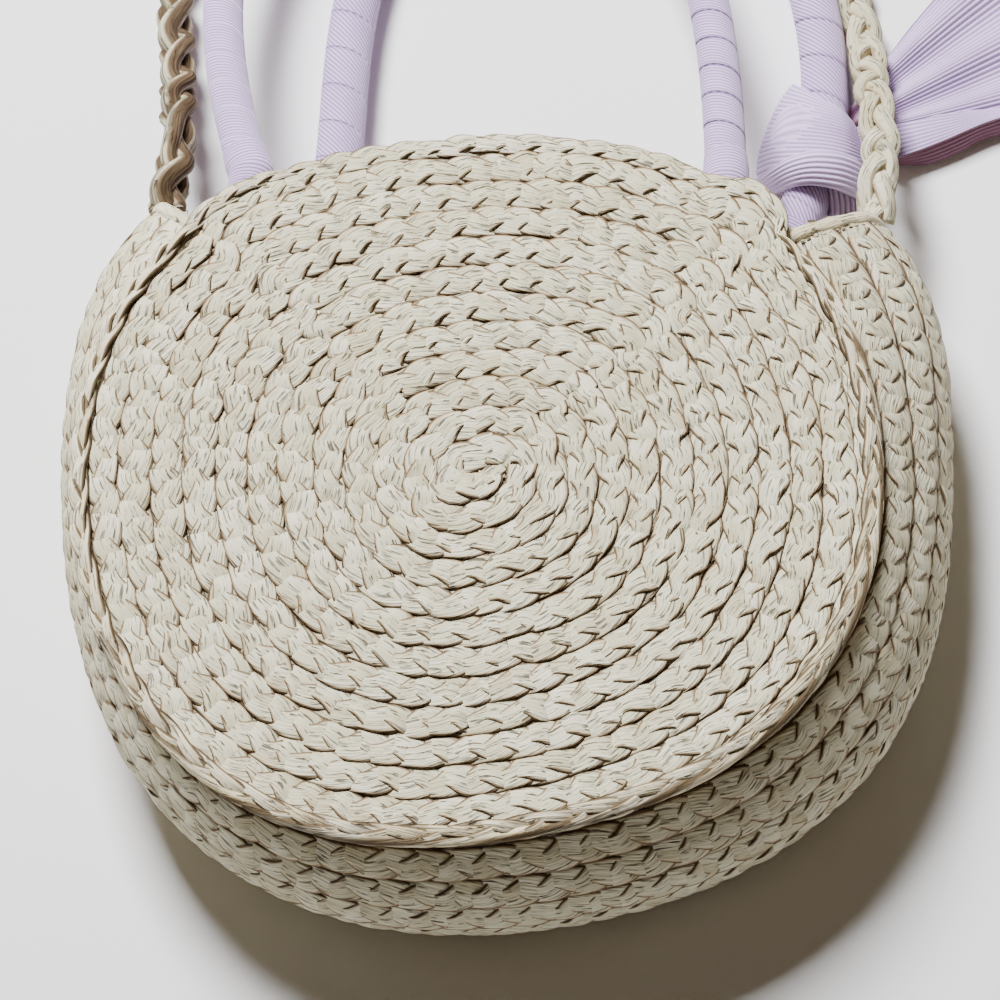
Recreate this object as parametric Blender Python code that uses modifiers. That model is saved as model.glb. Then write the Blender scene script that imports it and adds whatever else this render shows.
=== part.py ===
"""A round straw sling bag, laid on its back with its strap wound up beyond the handles.

Metres, +Z up out of the front panel, +Y towards the mouth. The origin is on the floor, at the middle
of the back panel. Angles round the panels run from +Y towards +X.
"""
import math

import bmesh
import bpy
from mathutils import Matrix, Vector

# The bag
panel_radius = 0.120
bag_depth = 0.070
panel_thickness = 0.0045
gusset_thickness = 0.0040
ridge_radius = 0.0023
clearance = 0.0003
front_slide = 0.016          # how far the soft bag has racked: the front panel lies this far to -X
shoulder_angle = math.radians(46.5)
seam_ramp = math.radians(4)
gusset_bulge = 0.013
shoulder_flare = 0.018       # what the strap's pull adds to the bulge at the gusset's ends
flare_reach = math.radians(26)

# The panels are sewn by hand, and are squarer at the shoulders than a true circle
squash_cos_shares = (0.010, -0.018, -0.008, -0.018)
squash_sin_shares = (-0.009, 0.014, -0.006, 0.011)

# The lining and the snap
lining_thickness = 0.0010
lining_gap = 0.0012
lining_inset = 0.0065
lining_top = 0.073
lining_end_angle = math.radians(15)   # the gusset's lining stops this far below the strap's anchors
lining_edge_share = 0.125
snap_height = 0.060
snap_radius = 0.0090
snap_base = 0.0012
snap_shell = 0.0005
snap_depth = 0.0030
snap_bore = 0.0030
stud_radius = 0.0026
stud_height = 0.0020
magnet_height = 0.0018
washer_radius = 0.0080
washer_thickness = 0.0006

# The handles
handle_half_span = 0.0735
handle_rise = 0.175
front_handle_radius = 0.0065
back_handle_radius = 0.0077
wrap_wall = 0.0024
bulb_reach_share = 0.97      # how far the core's sewn end reaches below the axis, of the handle's radius
front_lean = -0.0158
back_lean = 0.0125
front_lean_rate = 2
back_lean_rate = 6
back_lean_return_share = 0.5
front_drop = 0.0335          # how much lower the front handle's top lies than its feet
back_drop = 0.0043
handle_shift = 0.001
squareness = 3.0
spread_share = 0.09
tab_length = 0.0210
tab_width = 0.014
tab_thickness = 0.0030
handle_points = 28

# The scarf
knot_along_share = 0.225     # how far up the right leg the knot sits, of the handle's rise
knot_size = Vector((0.0153, 0.0180, 0.0143))
knot_boxiness = 0.80
knot_shift = 0.0022
tuck_radius = 0.0048
scarf_thickness = 0.0012
floor_gap = 0.0005
upper_tail_length = 0.135
upper_tail_width = 0.085
upper_tail_neck = 0.0065     # half the width of the gathered cloth where it leaves the knot
upper_tail_rise = 0.0060     # how far the gathered cloth stands up there
upper_tail_heading = math.radians(34.6)
upper_tail_folds = 3
upper_tail_place_shares = (1.21, 1.00)   # of half the knot's width, from its middle
lower_tail_length = 0.120
lower_tail_width = 0.022
lower_tail_neck = 0.0055
lower_tail_rise = 0.0050
lower_tail_heading = math.radians(8)
lower_tail_folds = 1
lower_tail_place_shares = (1.33, 0.08)
tail_fold_height = 0.0040

# The strap
strap_radius = 0.00575
coil_radius = 0.0674
coil_pitch = 0.0127
coil_centre = Vector((-0.015, 0.366))
coil_turns = 1.5
coil_exit_rise = 0.0026      # the coil's inner end is already climbing to pass over the outer turn
loop_points = 24
strap_spacing = 0.021
anchor_length = 0.024
anchor_width = 0.010
anchor_thickness = 0.0030
anchor_gap = 0.0032

# The strap's route from each shoulder to the coil, chosen by hand
left_route = (
    (-0.1192, 0.1065, 0.0352), (-0.1182, 0.1190, 0.0352), (-0.1180, 0.1340, 0.0325),
    (-0.1196, 0.1483, 0.0275), (-0.1220, 0.1687, 0.0200), (-0.1248, 0.1873, 0.0125),
    (-0.1272, 0.2060, 0.0075), (-0.1272, 0.2320, 0.0062), (-0.1235, 0.2620, 0.0061),
    (-0.1130, 0.2920, 0.0061), (-0.0960, 0.3210, 0.0061), (-0.0850, 0.3440, 0.0061),
)
right_route = (
    (0.1038, 0.1070, 0.0350), (0.1047, 0.1190, 0.0352), (0.1053, 0.1312, 0.0335),
    (0.1049, 0.1446, 0.0295), (0.1040, 0.1600, 0.0236), (0.1031, 0.1745, 0.0163),
    (0.1018, 0.1890, 0.0094), (0.0996, 0.2040, 0.0063), (0.0965, 0.2200, 0.0061),
    (0.0905, 0.2400, 0.0061), (0.0805, 0.2610, 0.0061), (0.0670, 0.2820, 0.0064),
    (0.0525, 0.2980, 0.0100), (0.0410, 0.3120, 0.0158), (0.0345, 0.3280, 0.0190),
    (0.0327, 0.3460, 0.0176),
)

for old in list(bpy.data.objects):
    bpy.data.objects.remove(old)
parts = bpy.data.collections.new("straw_sling_bag")
cutters = bpy.data.collections.new("cutters")
bpy.context.scene.collection.children.link(parts)
bpy.context.scene.collection.children.link(cutters)


def finish(name, colour, roughness, metallic=0.0):
    """A Principled material of one colour."""
    material = bpy.data.materials.new(name)
    material.use_nodes = True
    shader = material.node_tree.nodes["Principled BSDF"]
    shader.inputs["Base Color"].default_value = (*colour, 1.0)
    shader.inputs["Roughness"].default_value = roughness
    shader.inputs["Metallic"].default_value = metallic
    return material


straw = finish("straw", (0.68, 0.62, 0.49), 0.75)
straw_edge = finish("straw_edge", (0.62, 0.50, 0.33), 0.75)
lilac = finish("lilac_cloth", (0.62, 0.52, 0.74), 0.6)
cotton = finish("cotton_lining", (0.80, 0.76, 0.66), 0.85)
rope = finish("cotton_rope", (0.75, 0.70, 0.60), 0.85)
steel = finish("nickel_plated_steel", (0.70, 0.69, 0.66), 0.25, 1.0)
ferrite = finish("ferrite", (0.06, 0.06, 0.07), 0.55)


def keep(name, data, material, parent=None, place=(0, 0, 0)):
    """Put a mesh or a curve into the bag's collection under its name."""
    data.materials.clear()
    data.materials.append(material)
    piece = bpy.data.objects.new(name, data)
    parts.objects.link(piece)
    piece.parent = parent
    piece.location = place
    return piece


def pivot(name, place, parent=None):
    """An empty on a joint's axis, which carries the pieces that turn about it."""
    empty = bpy.data.objects.new(name, None)
    parts.objects.link(empty)
    empty.parent = parent
    empty.location = place
    return empty


def solidify(piece, thickness):
    """Give an open surface its wall, inwards from the faces' outer side."""
    wall = piece.modifiers.new("wall", "SOLIDIFY")
    wall.thickness = thickness
    wall.offset = -1
    wall.use_even_offset = True


def outline_radius(angle):
    """The panel's radius at an angle: a circle with four harmonics of squash."""
    share = 1
    for order, along in enumerate(squash_cos_shares, 1):
        share += along * math.cos(order * angle)
    for order, across in enumerate(squash_sin_shares, 1):
        share += across * math.sin(order * angle)
    return panel_radius * share


def racked(height):
    """How far the bag's section at this height has slid along X."""
    return -front_slide * height / bag_depth


def around(angle, inset, height):
    """A point at an inset from the outline, at a height above the floor."""
    reach = outline_radius(angle) - inset
    return Vector((reach * math.sin(angle) + racked(height), reach * math.cos(angle), height))


def slab(name, outline, low, thickness, material):
    """A flat outline with a thickness, from a filled 2D curve."""
    curve = bpy.data.curves.new(name, "CURVE")
    curve.dimensions = "2D"
    curve.fill_mode = "BOTH"
    curve.extrude = thickness / 2
    spline = curve.splines.new("POLY")
    spline.points.add(len(outline) - 1)
    spline.use_cyclic_u = True
    for point, place in zip(spline.points, outline):
        point.co = (place[0], place[1], 0, 1)
    return keep(name, curve, material, place=(0, 0, low + thickness / 2))


def tube_curve(name, path, radius, resolution, swell=None, capped=True):
    """A round tube along the path's points; swell gives each point's share of the radius."""
    curve = bpy.data.curves.new(name, "CURVE")
    curve.dimensions = "3D"
    curve.bevel_depth = radius
    curve.bevel_resolution = resolution
    curve.use_fill_caps = capped
    spline = curve.splines.new("POLY")
    spline.points.add(len(path) - 1)
    for index, place in enumerate(path):
        spline.points[index].co = (*place, 1)
        spline.points[index].radius = swell[index] if swell else 1
    return curve


def curve_mesh(name, curve):
    """The curve's tube as a mesh whose doubled points are merged."""
    guide = bpy.data.objects.new(name, curve)
    cutters.objects.link(guide)
    graph = bpy.context.evaluated_depsgraph_get()
    mesh = bpy.data.meshes.new_from_object(guide.evaluated_get(graph))
    bpy.data.objects.remove(guide)
    shape = bmesh.new()
    shape.from_mesh(mesh)
    bmesh.ops.remove_doubles(shape, verts=shape.verts, dist=clearance / 30)
    bmesh.ops.recalc_face_normals(shape, faces=shape.faces)
    shape.to_mesh(mesh)
    shape.free()
    return mesh


def grid_mesh(name, rows):
    """A surface through rows of points, which face the side that the rows and columns turn about."""
    shape = bmesh.new()
    grid = [[shape.verts.new(place) for place in row] for row in rows]
    for low, high in zip(grid, grid[1:]):
        for column in range(len(low) - 1):
            shape.faces.new((low[column], low[column + 1], high[column + 1], high[column]))
    mesh = bpy.data.meshes.new(name)
    shape.to_mesh(mesh)
    shape.free()
    mesh.shade_smooth()
    return mesh


def smooth_path(route, spacing):
    """Points a spacing apart along the Catmull-Rom curve through the route."""
    ends = [2 * route[0] - route[1], *route, 2 * route[-1] - route[-2]]
    fine = []
    for first, start, stop, last in zip(ends, ends[1:], ends[2:], ends[3:]):
        for step in range(16):
            t = step / 16
            fine.append(0.5 * (2 * start + (stop - first) * t
                               + (2 * first - 5 * start + 4 * stop - last) * t ** 2
                               + (3 * start - first - 3 * stop + last) * t ** 3))
    fine.append(route[-1].copy())
    return spaced(fine, spacing)


def spaced(fine, spacing):
    """The fine path's points, taken again at even steps near the spacing."""
    lengths = [0]
    for start, stop in zip(fine, fine[1:]):
        lengths.append(lengths[-1] + (stop - start).length)
    steps = max(2, round(lengths[-1] / spacing))
    path = []
    index = 0
    for step in range(steps + 1):
        wanted = lengths[-1] * step / steps
        while index < len(fine) - 2 and lengths[index + 1] < wanted:
            index += 1
        share = (wanted - lengths[index]) / (lengths[index + 1] - lengths[index])
        path.append(fine[index].lerp(fine[index + 1], share))
    return path


def path_length(path):
    """The length of a path of points."""
    return sum((stop - start).length for start, stop in zip(path, path[1:]))


def shoulder_share(angle):
    """1 where the gusset is sewn on, 0 along the mouth's free edge, with a short ramp between."""
    from_top = abs((angle + math.pi) % (2 * math.pi) - math.pi)
    ramp = (from_top - shoulder_angle) / seam_ramp + 2
    ramp = min(1, max(0, ramp))
    return ramp * ramp * (3 - 2 * ramp)


def panel(name, low, material):
    """A spiral panel: inside the ridge along the gusset, and out to the outline along the mouth."""
    middle = low + panel_thickness / 2
    seam = 2 * ridge_radius + clearance
    turns = [math.radians(3.75) * step for step in range(96)]
    outline = [around(angle, seam * shoulder_share(angle), middle) for angle in turns]
    return slab(name, outline, low, panel_thickness, material)


def ridge(name, height):
    """The raised straw edging along a seam, from shoulder to shoulder round the bottom."""
    sweep = 2 * (math.pi - shoulder_angle)
    path = [around(shoulder_angle + sweep * step / 52, ridge_radius, height) for step in range(53)]
    return keep(name, tube_curve(name, path, ridge_radius, 2), straw_edge)


def bulge_at(angle):
    """The gusset's bulge at mid-depth: even round the bottom, and flared at the shoulders."""
    from_top = abs((angle + math.pi) % (2 * math.pi) - math.pi)
    flare = math.exp(-((from_top - shoulder_angle) / flare_reach) ** 2)
    return gusset_bulge + shoulder_flare * flare


def gusset_outside(angle, share):
    """A point on the gusset's outer face; share runs from the back seam, 0, to the front seam, 1."""
    seam = 2 * ridge_radius + clearance
    height = seam + (bag_depth - 2 * seam) * share
    return around(angle, -bulge_at(angle) * math.sin(math.pi * share), height)


def gusset_frame(angle, share):
    """The gusset's directions at a point: round the bag, from back to front, and inwards."""
    step = 0.001
    here = gusset_outside(angle, share)
    along = (gusset_outside(angle + step, share) - here).normalized()
    across = (gusset_outside(angle, min(1, share + step)) - gusset_outside(angle, share - step)).normalized()
    return along, across, along.cross(across).normalized()


def gusset_shell(name, start, edge, depth, thickness, rows, columns, material):
    """A shell that follows the gusset at a depth below its outer face."""
    sweep = 2 * (math.pi - start)
    lines = []
    for row in range(rows + 1):
        share = edge + (1 - 2 * edge) * row / rows
        line = []
        for column in range(columns + 1):
            angle = start + sweep * column / columns
            line.append(gusset_outside(angle, share) + gusset_frame(angle, share)[2] * depth)
        lines.append(line)
    shell = keep(name, grid_mesh(name, lines), material)
    shell.data.flip_normals()
    solidify(shell, thickness)
    return shell


def lining_disc(name, low):
    """A round of cotton, cut straight below the mouth."""
    middle = low + lining_thickness / 2
    outline = []
    for step in range(72):
        angle = math.radians(5) * step
        place = around(angle, lining_inset, middle)
        if place.y <= lining_top:
            outline.append(place)
    for side in (-1, 1):
        outline.sort(key=lambda place: (math.atan2(place.x - racked(middle), place.y)) % (2 * math.pi))
        edge = max((p for p in outline if side * (p.x - racked(middle)) > 0), key=lambda p: p.y)
        outline.append(Vector((edge.x, lining_top, middle)))
    outline.sort(key=lambda place: (math.atan2(place.x - racked(middle), place.y)) % (2 * math.pi))
    return slab(name, outline, low, lining_thickness, cotton)


def turned(name, profile, place, material, steps=32, parent=None):
    """A turned piece: the profile's radii and heights, top to bottom down the outer side."""
    mesh = bpy.data.meshes.new(name)
    loops = [(index, (index + 1) % len(profile)) for index in range(len(profile))]
    mesh.from_pydata([(radius, 0, height) for radius, height in profile], loops, [])
    piece = keep(name, mesh, material, parent, place)
    screw = piece.modifiers.new("turn", "SCREW")
    screw.steps = steps
    screw.render_steps = steps
    screw.use_merge_vertices = True
    screw.merge_threshold = 0.00001
    return piece


def snap_washer(name, low):
    """The steel washer between a panel and its lining, over which the snap's legs are bent."""
    profile = ((stud_radius, washer_thickness), (washer_radius, washer_thickness),
               (washer_radius, 0), (stud_radius, 0))
    turned(name, profile, (racked(low), snap_height, low), steel)


def snap():
    """The magnetic snap: a socket with a ring magnet on the front lining, and a stud on the back one."""
    back_face = panel_thickness + lining_gap + lining_thickness + clearance
    front_face = bag_depth - back_face
    washer_low = panel_thickness + clearance
    snap_washer("snap_washer_back", washer_low)
    snap_washer("snap_washer_front", bag_depth - washer_low - washer_thickness)
    top = stud_height + snap_base
    stud = ((0, top), (stud_radius, top), (stud_radius, snap_base), (snap_radius, snap_base),
            (snap_radius, 0), (0, 0))
    piece = turned("snap_stud", stud, (racked(back_face), snap_height, back_face), steel)
    open_profile(piece, len(stud))
    socket = ((snap_radius - snap_shell, 0), (snap_radius, 0), (snap_radius, -snap_depth),
              (snap_bore, -snap_depth), (snap_bore, snap_shell - snap_depth),
              (snap_radius - snap_shell, snap_shell - snap_depth))
    turned("snap_socket", socket, (racked(front_face), snap_height, front_face), steel)
    rim = snap_radius - snap_shell - clearance
    magnet_low = snap_shell - snap_depth + clearance
    magnet = ((snap_bore, magnet_low + magnet_height), (rim, magnet_low + magnet_height),
              (rim, magnet_low), (snap_bore, magnet_low))
    turned("snap_magnet", magnet, (racked(front_face), snap_height, front_face), ferrite)


def open_profile(piece, count):
    """Remove a profile's closing edge, for a piece whose profile starts and ends on its axis."""
    shape = bmesh.new()
    shape.from_mesh(piece.data)
    shape.verts.ensure_lookup_table()
    closing = [edge for edge in shape.edges
               if {vert.index for vert in edge.verts} == {0, count - 1}]
    bmesh.ops.delete(shape, geom=closing, context="EDGES_FACES")
    shape.to_mesh(piece.data)
    shape.free()


def edge_height(across):
    """How far up the mouth's free edge stands at a distance across the panel."""
    places = [around(math.radians(0.5) * step, 0, 0) for step in range(-120, 121)]
    return min(places, key=lambda place: abs(place.x - across)).y


def handle_axis_height(radius):
    """How far up the fold of a handle's feet lies, so that its wrap clears the mouth's edge."""
    edge = max(edge_height(-handle_half_span), edge_height(handle_half_span))
    return edge + radius + 2 * clearance


def handle_path(lean, rate, return_share, drop):
    """The handle's centre line from its pivot: a squared arch that leans sideways and sinks to its top."""
    fine = []
    for step in range(241):
        turn = math.pi * step / 240
        side = -math.cos(turn)
        up = math.sin(turn) ** (2 / squareness)
        wide = abs(side) ** (2 / squareness) * (1 + 4 * spread_share * up * (1 - up))
        sway = lean * (1 - (1 - up) ** rate) * (1 - return_share * up)
        fine.append(Vector((handle_half_span * math.copysign(wide, side) + sway, handle_rise * up, -drop * up)))
    return spaced(fine, path_length(fine) / handle_points)


def trimmed(path, start):
    """The path without this length at each end."""
    for turn in range(2):
        left = start
        while left > 0 and (path[1] - path[0]).length <= left:
            left -= (path[1] - path[0]).length
            path = path[1:]
        path = [path[0] + (path[1] - path[0]).normalized() * left, *path[1:]]
        path = path[::-1]
    return path


def handle(side, centre, height, radius, line):
    """A wrapped handle on its pivot: a rope core with sewn bulb ends, in a cloth wrap."""
    base = pivot(side + "_handle_pivot", (centre, handle_axis_height(radius), height))
    length = path_length(line)
    sleeve = trimmed(line, radius + clearance)
    open_tube = tube_curve(side + "_handle_wrap", sleeve, radius, 4, capped=False)
    wrap = keep(side + "_handle_wrap", curve_mesh(side + "_handle_wrap", open_tube), lilac, base)
    wrap.data.shade_smooth()
    solidify(wrap, wrap_wall)
    core_share = (radius - wrap_wall - clearance) / radius
    reach = radius * bulb_reach_share
    offsets = [-reach + reach * turn for turn in (0, 0.15, 0.45, 1, 1.5, 1.8, 1.94)]
    swells = [math.sqrt(max(0, 1 - (offset / radius) ** 2)) for offset in offsets]
    swells[-1] = core_share
    first = (line[1] - line[0]).normalized()
    last = (line[-2] - line[-1]).normalized()
    starts = [line[0] + first * offset for offset in offsets]
    stops = [line[-1] + last * offset for offset in offsets][::-1]
    run = trimmed(line, radius * 1.2)
    core_path = [*starts, *run, *stops]
    swell = [*swells, *[core_share] * len(run), *swells[::-1]]
    core = tube_curve(side + "_handle_core", core_path, radius, 3, swell)
    keep(side + "_handle_core", core, rope, base)
    print(side, "handle length", round(length, 3))
    return base, line


def tab(name, across, low, radius):
    """A cloth tab sewn to a panel's inner face, up to the bulb of the handle's core."""
    top = handle_axis_height(radius) - math.sqrt(tab_thickness * (2 * radius - tab_thickness)) - clearance
    half = tab_width / 2
    outline = [(across - half, top), (across + half, top), (across + half, top - tab_length),
               (across - half, top - tab_length)]
    slab(name, outline, low, tab_thickness, lilac)


def handles():
    """Both handles and their four tabs."""
    back_height = panel_thickness + clearance + back_handle_radius
    front_height = bag_depth - panel_thickness - clearance - front_handle_radius
    front_centre = -front_slide - handle_shift
    front_line = handle_path(front_lean, front_lean_rate, 0, front_drop)
    back_line = handle_path(back_lean, back_lean_rate, back_lean_return_share, back_drop)
    front = handle("front", front_centre, front_height, front_handle_radius, front_line)
    back = handle("back", handle_shift, back_height, back_handle_radius, back_line)
    front_low = bag_depth - panel_thickness - clearance - tab_thickness
    back_low = panel_thickness + clearance
    for side, label in ((-1, "left"), (1, "right")):
        across = side * handle_half_span
        tab("front_handle_tab_" + label, front_centre + across, front_low, front_handle_radius)
        tab("back_handle_tab_" + label, handle_shift + across, back_low, back_handle_radius)
    return front, back


def knot(base, line):
    """The scarf's knot round the right leg of the back handle, bored to let the leg through."""
    up = knot_along_share * handle_rise
    high, low = next((p, q) for p, q in zip(line, line[1:]) if p.x > 0 and p.y >= up >= q.y)
    leg = high.lerp(low, (high.y - up) / (high.y - low.y))
    centre = Vector((leg.x - knot_shift, leg.y, knot_size.z + floor_gap - base.location.z))
    shape = bmesh.new()
    bmesh.ops.create_uvsphere(shape, u_segments=28, v_segments=16, radius=1)
    for vert in shape.verts:
        boxed = [math.copysign(abs(value) ** knot_boxiness, value) for value in vert.co]
        vert.co = Vector([value * size for value, size in zip(boxed, knot_size)]) + centre
    mesh = bpy.data.meshes.new("scarf_knot")
    shape.to_mesh(mesh)
    shape.free()
    piece = keep("scarf_knot", mesh, lilac, base)
    bore_curve = tube_curve("knot_bore", trimmed(line, handle_rise / 30), back_handle_radius + clearance, 4)
    bore = bpy.data.objects.new("knot_bore", curve_mesh("knot_bore", bore_curve))
    cutters.objects.link(bore)
    bore.parent = base
    bore.hide_render = True
    bore.display_type = "WIRE"
    cut = piece.modifiers.new("leg", "BOOLEAN")
    cut.operation = "DIFFERENCE"
    cut.object = bore
    return centre


def tuck(base, centre):
    """The scarf's turn between the knot and the gusset's end, beside the leg."""
    across = knot_size.x * 0.62
    low = centre.y - knot_size.y
    path = [Vector((centre.x + across, low - clearance - tuck_radius * 0.2, 0)),
            Vector((centre.x + across * 1.1, low - tuck_radius * 1.2, tuck_radius * 0.2)),
            Vector((centre.x + across * 1.15, low - tuck_radius * 2, 0))]
    keep("scarf_tuck", tube_curve("scarf_tuck", path, tuck_radius, 3, (0.8, 1, 0.7)), lilac, base)


def tail(name, parent, place, heading, length, neck, width, folds, rise):
    """A loose end of the scarf: it fans out from a round neck and lies in soft folds."""
    base = pivot(name + "_pivot", place, parent)
    ahead = Vector((math.cos(heading), math.sin(heading), 0))
    beside = Vector((-math.sin(heading), math.cos(heading), 0))
    rows = []
    for step in range(15):
        along = step / 14
        half = neck + (width / 2 - neck) * (1 - (1 - along) ** 2)
        swell = math.sin(math.pi * min(1, along * 1.5 + 0.1)) ** 0.5
        row = []
        for column in range(17):
            side = column / 8 - 1
            forward = length * along - neck * math.sqrt(max(0, 1 - side * side)) * (1 - along) ** 3
            wave = 0.5 + 0.5 * math.cos(folds * math.pi * side)
            height = rise * (1 - along) ** 3 + tail_fold_height * wave * swell
            row.append(ahead * forward + beside * half * side + Vector((0, 0, height)))
        rows.append(row)
    piece = keep(name, grid_mesh(name, rows), lilac, base)
    solidify(piece, scarf_thickness)
    return base


def beside_knot(centre, shares):
    """A place on the floor beside the knot, in shares of half its width."""
    along, across = shares
    return Vector((centre.x + knot_size.x * along, centre.y + knot_size.x * across, 0))


def scarf(base, line):
    """The knot, the turn below it and the two tails."""
    centre = knot(base, line)
    tuck(base, centre)
    floor = Vector((0, 0, floor_gap - base.location.z))
    tail("scarf_tail_upper", base, beside_knot(centre, upper_tail_place_shares) + floor, upper_tail_heading,
         upper_tail_length, upper_tail_neck, upper_tail_width, upper_tail_folds, upper_tail_rise)
    tail("scarf_tail_lower", base, beside_knot(centre, lower_tail_place_shares) + floor, lower_tail_heading,
         lower_tail_length, lower_tail_neck, lower_tail_width, lower_tail_folds, lower_tail_rise)


def strap_anchor(name, angle):
    """The sewn end of the strap, on the gusset's inner face at mid-depth."""
    side = math.copysign(1, math.pi - angle)
    half_turn = anchor_length / 2 / (panel_radius + bulge_at(angle))
    along, across, inward = gusset_frame(angle + side * half_turn, 0.5)
    depth = gusset_thickness + anchor_gap + anchor_thickness / 2
    centre = gusset_outside(angle + side * half_turn, 0.5) + inward * depth
    mesh = bpy.data.meshes.new(name)
    shape = bmesh.new()
    bmesh.ops.create_cube(shape, size=1)
    turn = Matrix((along, across, inward)).transposed().to_4x4()
    size = Matrix.Diagonal((anchor_length, anchor_width, anchor_thickness, 1))
    bmesh.ops.transform(shape, matrix=turn @ size, verts=shape.verts)
    shape.to_mesh(mesh)
    shape.free()
    anchor = keep(name, mesh, rope, place=centre)
    soften = anchor.modifiers.new("soften", "BEVEL")
    soften.width = anchor_thickness / 4
    soften.segments = 2
    exit_point = gusset_outside(angle, 0.5) + gusset_frame(angle, 0.5)[2] * gusset_thickness / 2
    print(name, "strap leaves at", [round(value, 4) for value in exit_point])


def coil_path():
    """The coil's turns: in by a pitch a turn, clockwise from its left side."""
    count = round(coil_turns * loop_points)
    places = []
    for step in range(count + 1):
        turn = 2 * math.pi * step / loop_points
        reach = coil_radius - coil_pitch * step / loop_points
        climb = coil_exit_rise * max(0, 1 - (count - step) / 4) ** 2
        places.append(Vector((coil_centre.x - reach * math.cos(turn),
                              coil_centre.y + reach * math.sin(turn), strap_radius + clearance + climb)))
    return places


def strap():
    """One plait from shoulder to shoulder in three nodes: a run, the coil and a run."""
    coil = coil_path()
    route = [*[Vector(place) for place in left_route], *coil, *[Vector(place) for place in right_route[::-1]]]
    whole = smooth_path(route, strap_spacing / 4)
    first = min(range(len(whole)), key=lambda index: (whole[index] - coil[0]).length)
    last = min(range(len(whole)), key=lambda index: (whole[index] - coil[-1]).length)
    stretches = {"strap_left_run": (0, first), "strap_coil": (first, last),
                 "strap_right_run": (last, len(whole) - 1)}
    for name, (start, stop) in stretches.items():
        spacing = strap_spacing if "run" in name else 2 * math.pi * coil_radius / loop_points
        path = spaced(whole[start:stop + 1], spacing)
        path.insert(1, path[0] + heading(whole, start) * strap_radius)
        path.insert(-1, path[-1] - heading(whole, stop) * strap_radius)
        keep(name, tube_curve(name, trimmed(path, clearance / 2), strap_radius, 2), straw)
    gap = self_gap(whole)
    print("strap length", round(path_length(whole), 3), "least gap to itself in mm", round(gap * 1000, 2))


def heading(path, index):
    """The path's direction at one of its points."""
    return (path[min(index + 1, len(path) - 1)] - path[max(index - 1, 0)]).normalized()


def self_gap(path):
    """The least gap between the strap's surfaces at points more than three diameters of strap apart."""
    steps = [0]
    for start, stop in zip(path, path[1:]):
        steps.append(steps[-1] + (stop - start).length)
    least = min((path[j] - path[i]).length for i in range(len(path)) for j in range(i + 1, len(path))
                if steps[j] - steps[i] > 6 * strap_radius)
    return least - 2 * strap_radius


panel("back_panel", 0, straw)
panel("front_panel", bag_depth - panel_thickness, straw)
ridge("back_seam_ridge", ridge_radius)
ridge("front_seam_ridge", bag_depth - ridge_radius)
gusset_shell("gusset", shoulder_angle, 0, 0, gusset_thickness, 8, 42, straw)
gusset_shell("lining_gusset", shoulder_angle + lining_end_angle, lining_edge_share,
             gusset_thickness + lining_gap, lining_thickness, 4, 30, cotton)
lining_disc("lining_back", panel_thickness + lining_gap)
lining_disc("lining_front", bag_depth - panel_thickness - lining_gap - lining_thickness)
snap()
(front_base, front_line), (back_base, back_line) = handles()
scarf(back_base, back_line)
strap_anchor("strap_anchor_right", shoulder_angle)
strap_anchor("strap_anchor_left", 2 * math.pi - shoulder_angle)
strap()
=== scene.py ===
"""A straw sling bag: plaited raffia panels and gusset, wrapped handles, a knotted scarf and a plaited strap."""
import math

import bpy
import numpy as np
from mathutils import Matrix, Vector


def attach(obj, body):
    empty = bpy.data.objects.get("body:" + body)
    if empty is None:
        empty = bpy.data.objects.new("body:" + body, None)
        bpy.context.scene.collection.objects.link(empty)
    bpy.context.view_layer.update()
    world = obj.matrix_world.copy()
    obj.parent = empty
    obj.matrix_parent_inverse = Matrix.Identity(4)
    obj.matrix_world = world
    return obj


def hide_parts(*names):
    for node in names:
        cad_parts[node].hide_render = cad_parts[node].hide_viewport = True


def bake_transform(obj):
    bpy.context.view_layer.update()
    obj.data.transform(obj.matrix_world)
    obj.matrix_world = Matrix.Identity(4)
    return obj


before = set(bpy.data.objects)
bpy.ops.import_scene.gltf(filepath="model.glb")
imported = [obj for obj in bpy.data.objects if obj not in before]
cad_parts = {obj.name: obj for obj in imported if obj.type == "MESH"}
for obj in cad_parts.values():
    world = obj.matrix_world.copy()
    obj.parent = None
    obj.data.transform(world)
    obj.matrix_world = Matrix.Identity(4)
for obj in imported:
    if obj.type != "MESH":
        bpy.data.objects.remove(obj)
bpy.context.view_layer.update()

# Camera
# The photograph looks down on the front panel from the bag's bottom side, from about 1.2 m away.
camera_place = Vector((0.03976, -0.47278, 1.06596))
camera_right = Vector((0.99885, 0.03564, -0.03215))
camera_up = Vector((-0.01869, 0.90580, 0.42329))
camera_back = Vector((0.04421, -0.42221, 0.90542))

camera_lens = bpy.data.cameras.new("camera")
camera_lens.lens = 135.08
camera_lens.sensor_width = 36
camera = bpy.data.objects.new("camera", camera_lens)
camera_turn = Matrix((camera_right, camera_up, camera_back)).transposed()
camera.matrix_world = Matrix.Translation(camera_place) @ camera_turn.to_4x4()
bpy.context.scene.collection.objects.link(camera)
bpy.context.scene.camera = camera

# Shoulder strap
# A three-strand plait of crushed raffia, 11.5 mm thick, sewn between the hems of the gusset's ends.
# It runs from the left shoulder down to the table, round a coil beyond the view, and to the right shoulder.


def linear(colour):
    """An sRGB hex colour as linear red, green, blue and alpha."""
    parts = np.array([int(colour[place:place + 2], 16) for place in (1, 3, 5)]) / 255
    parts = np.where(parts <= 0.04045, parts / 12.92, ((parts + 0.055) / 1.055) ** 2.4)
    return (*parts.tolist(), 1)


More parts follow.
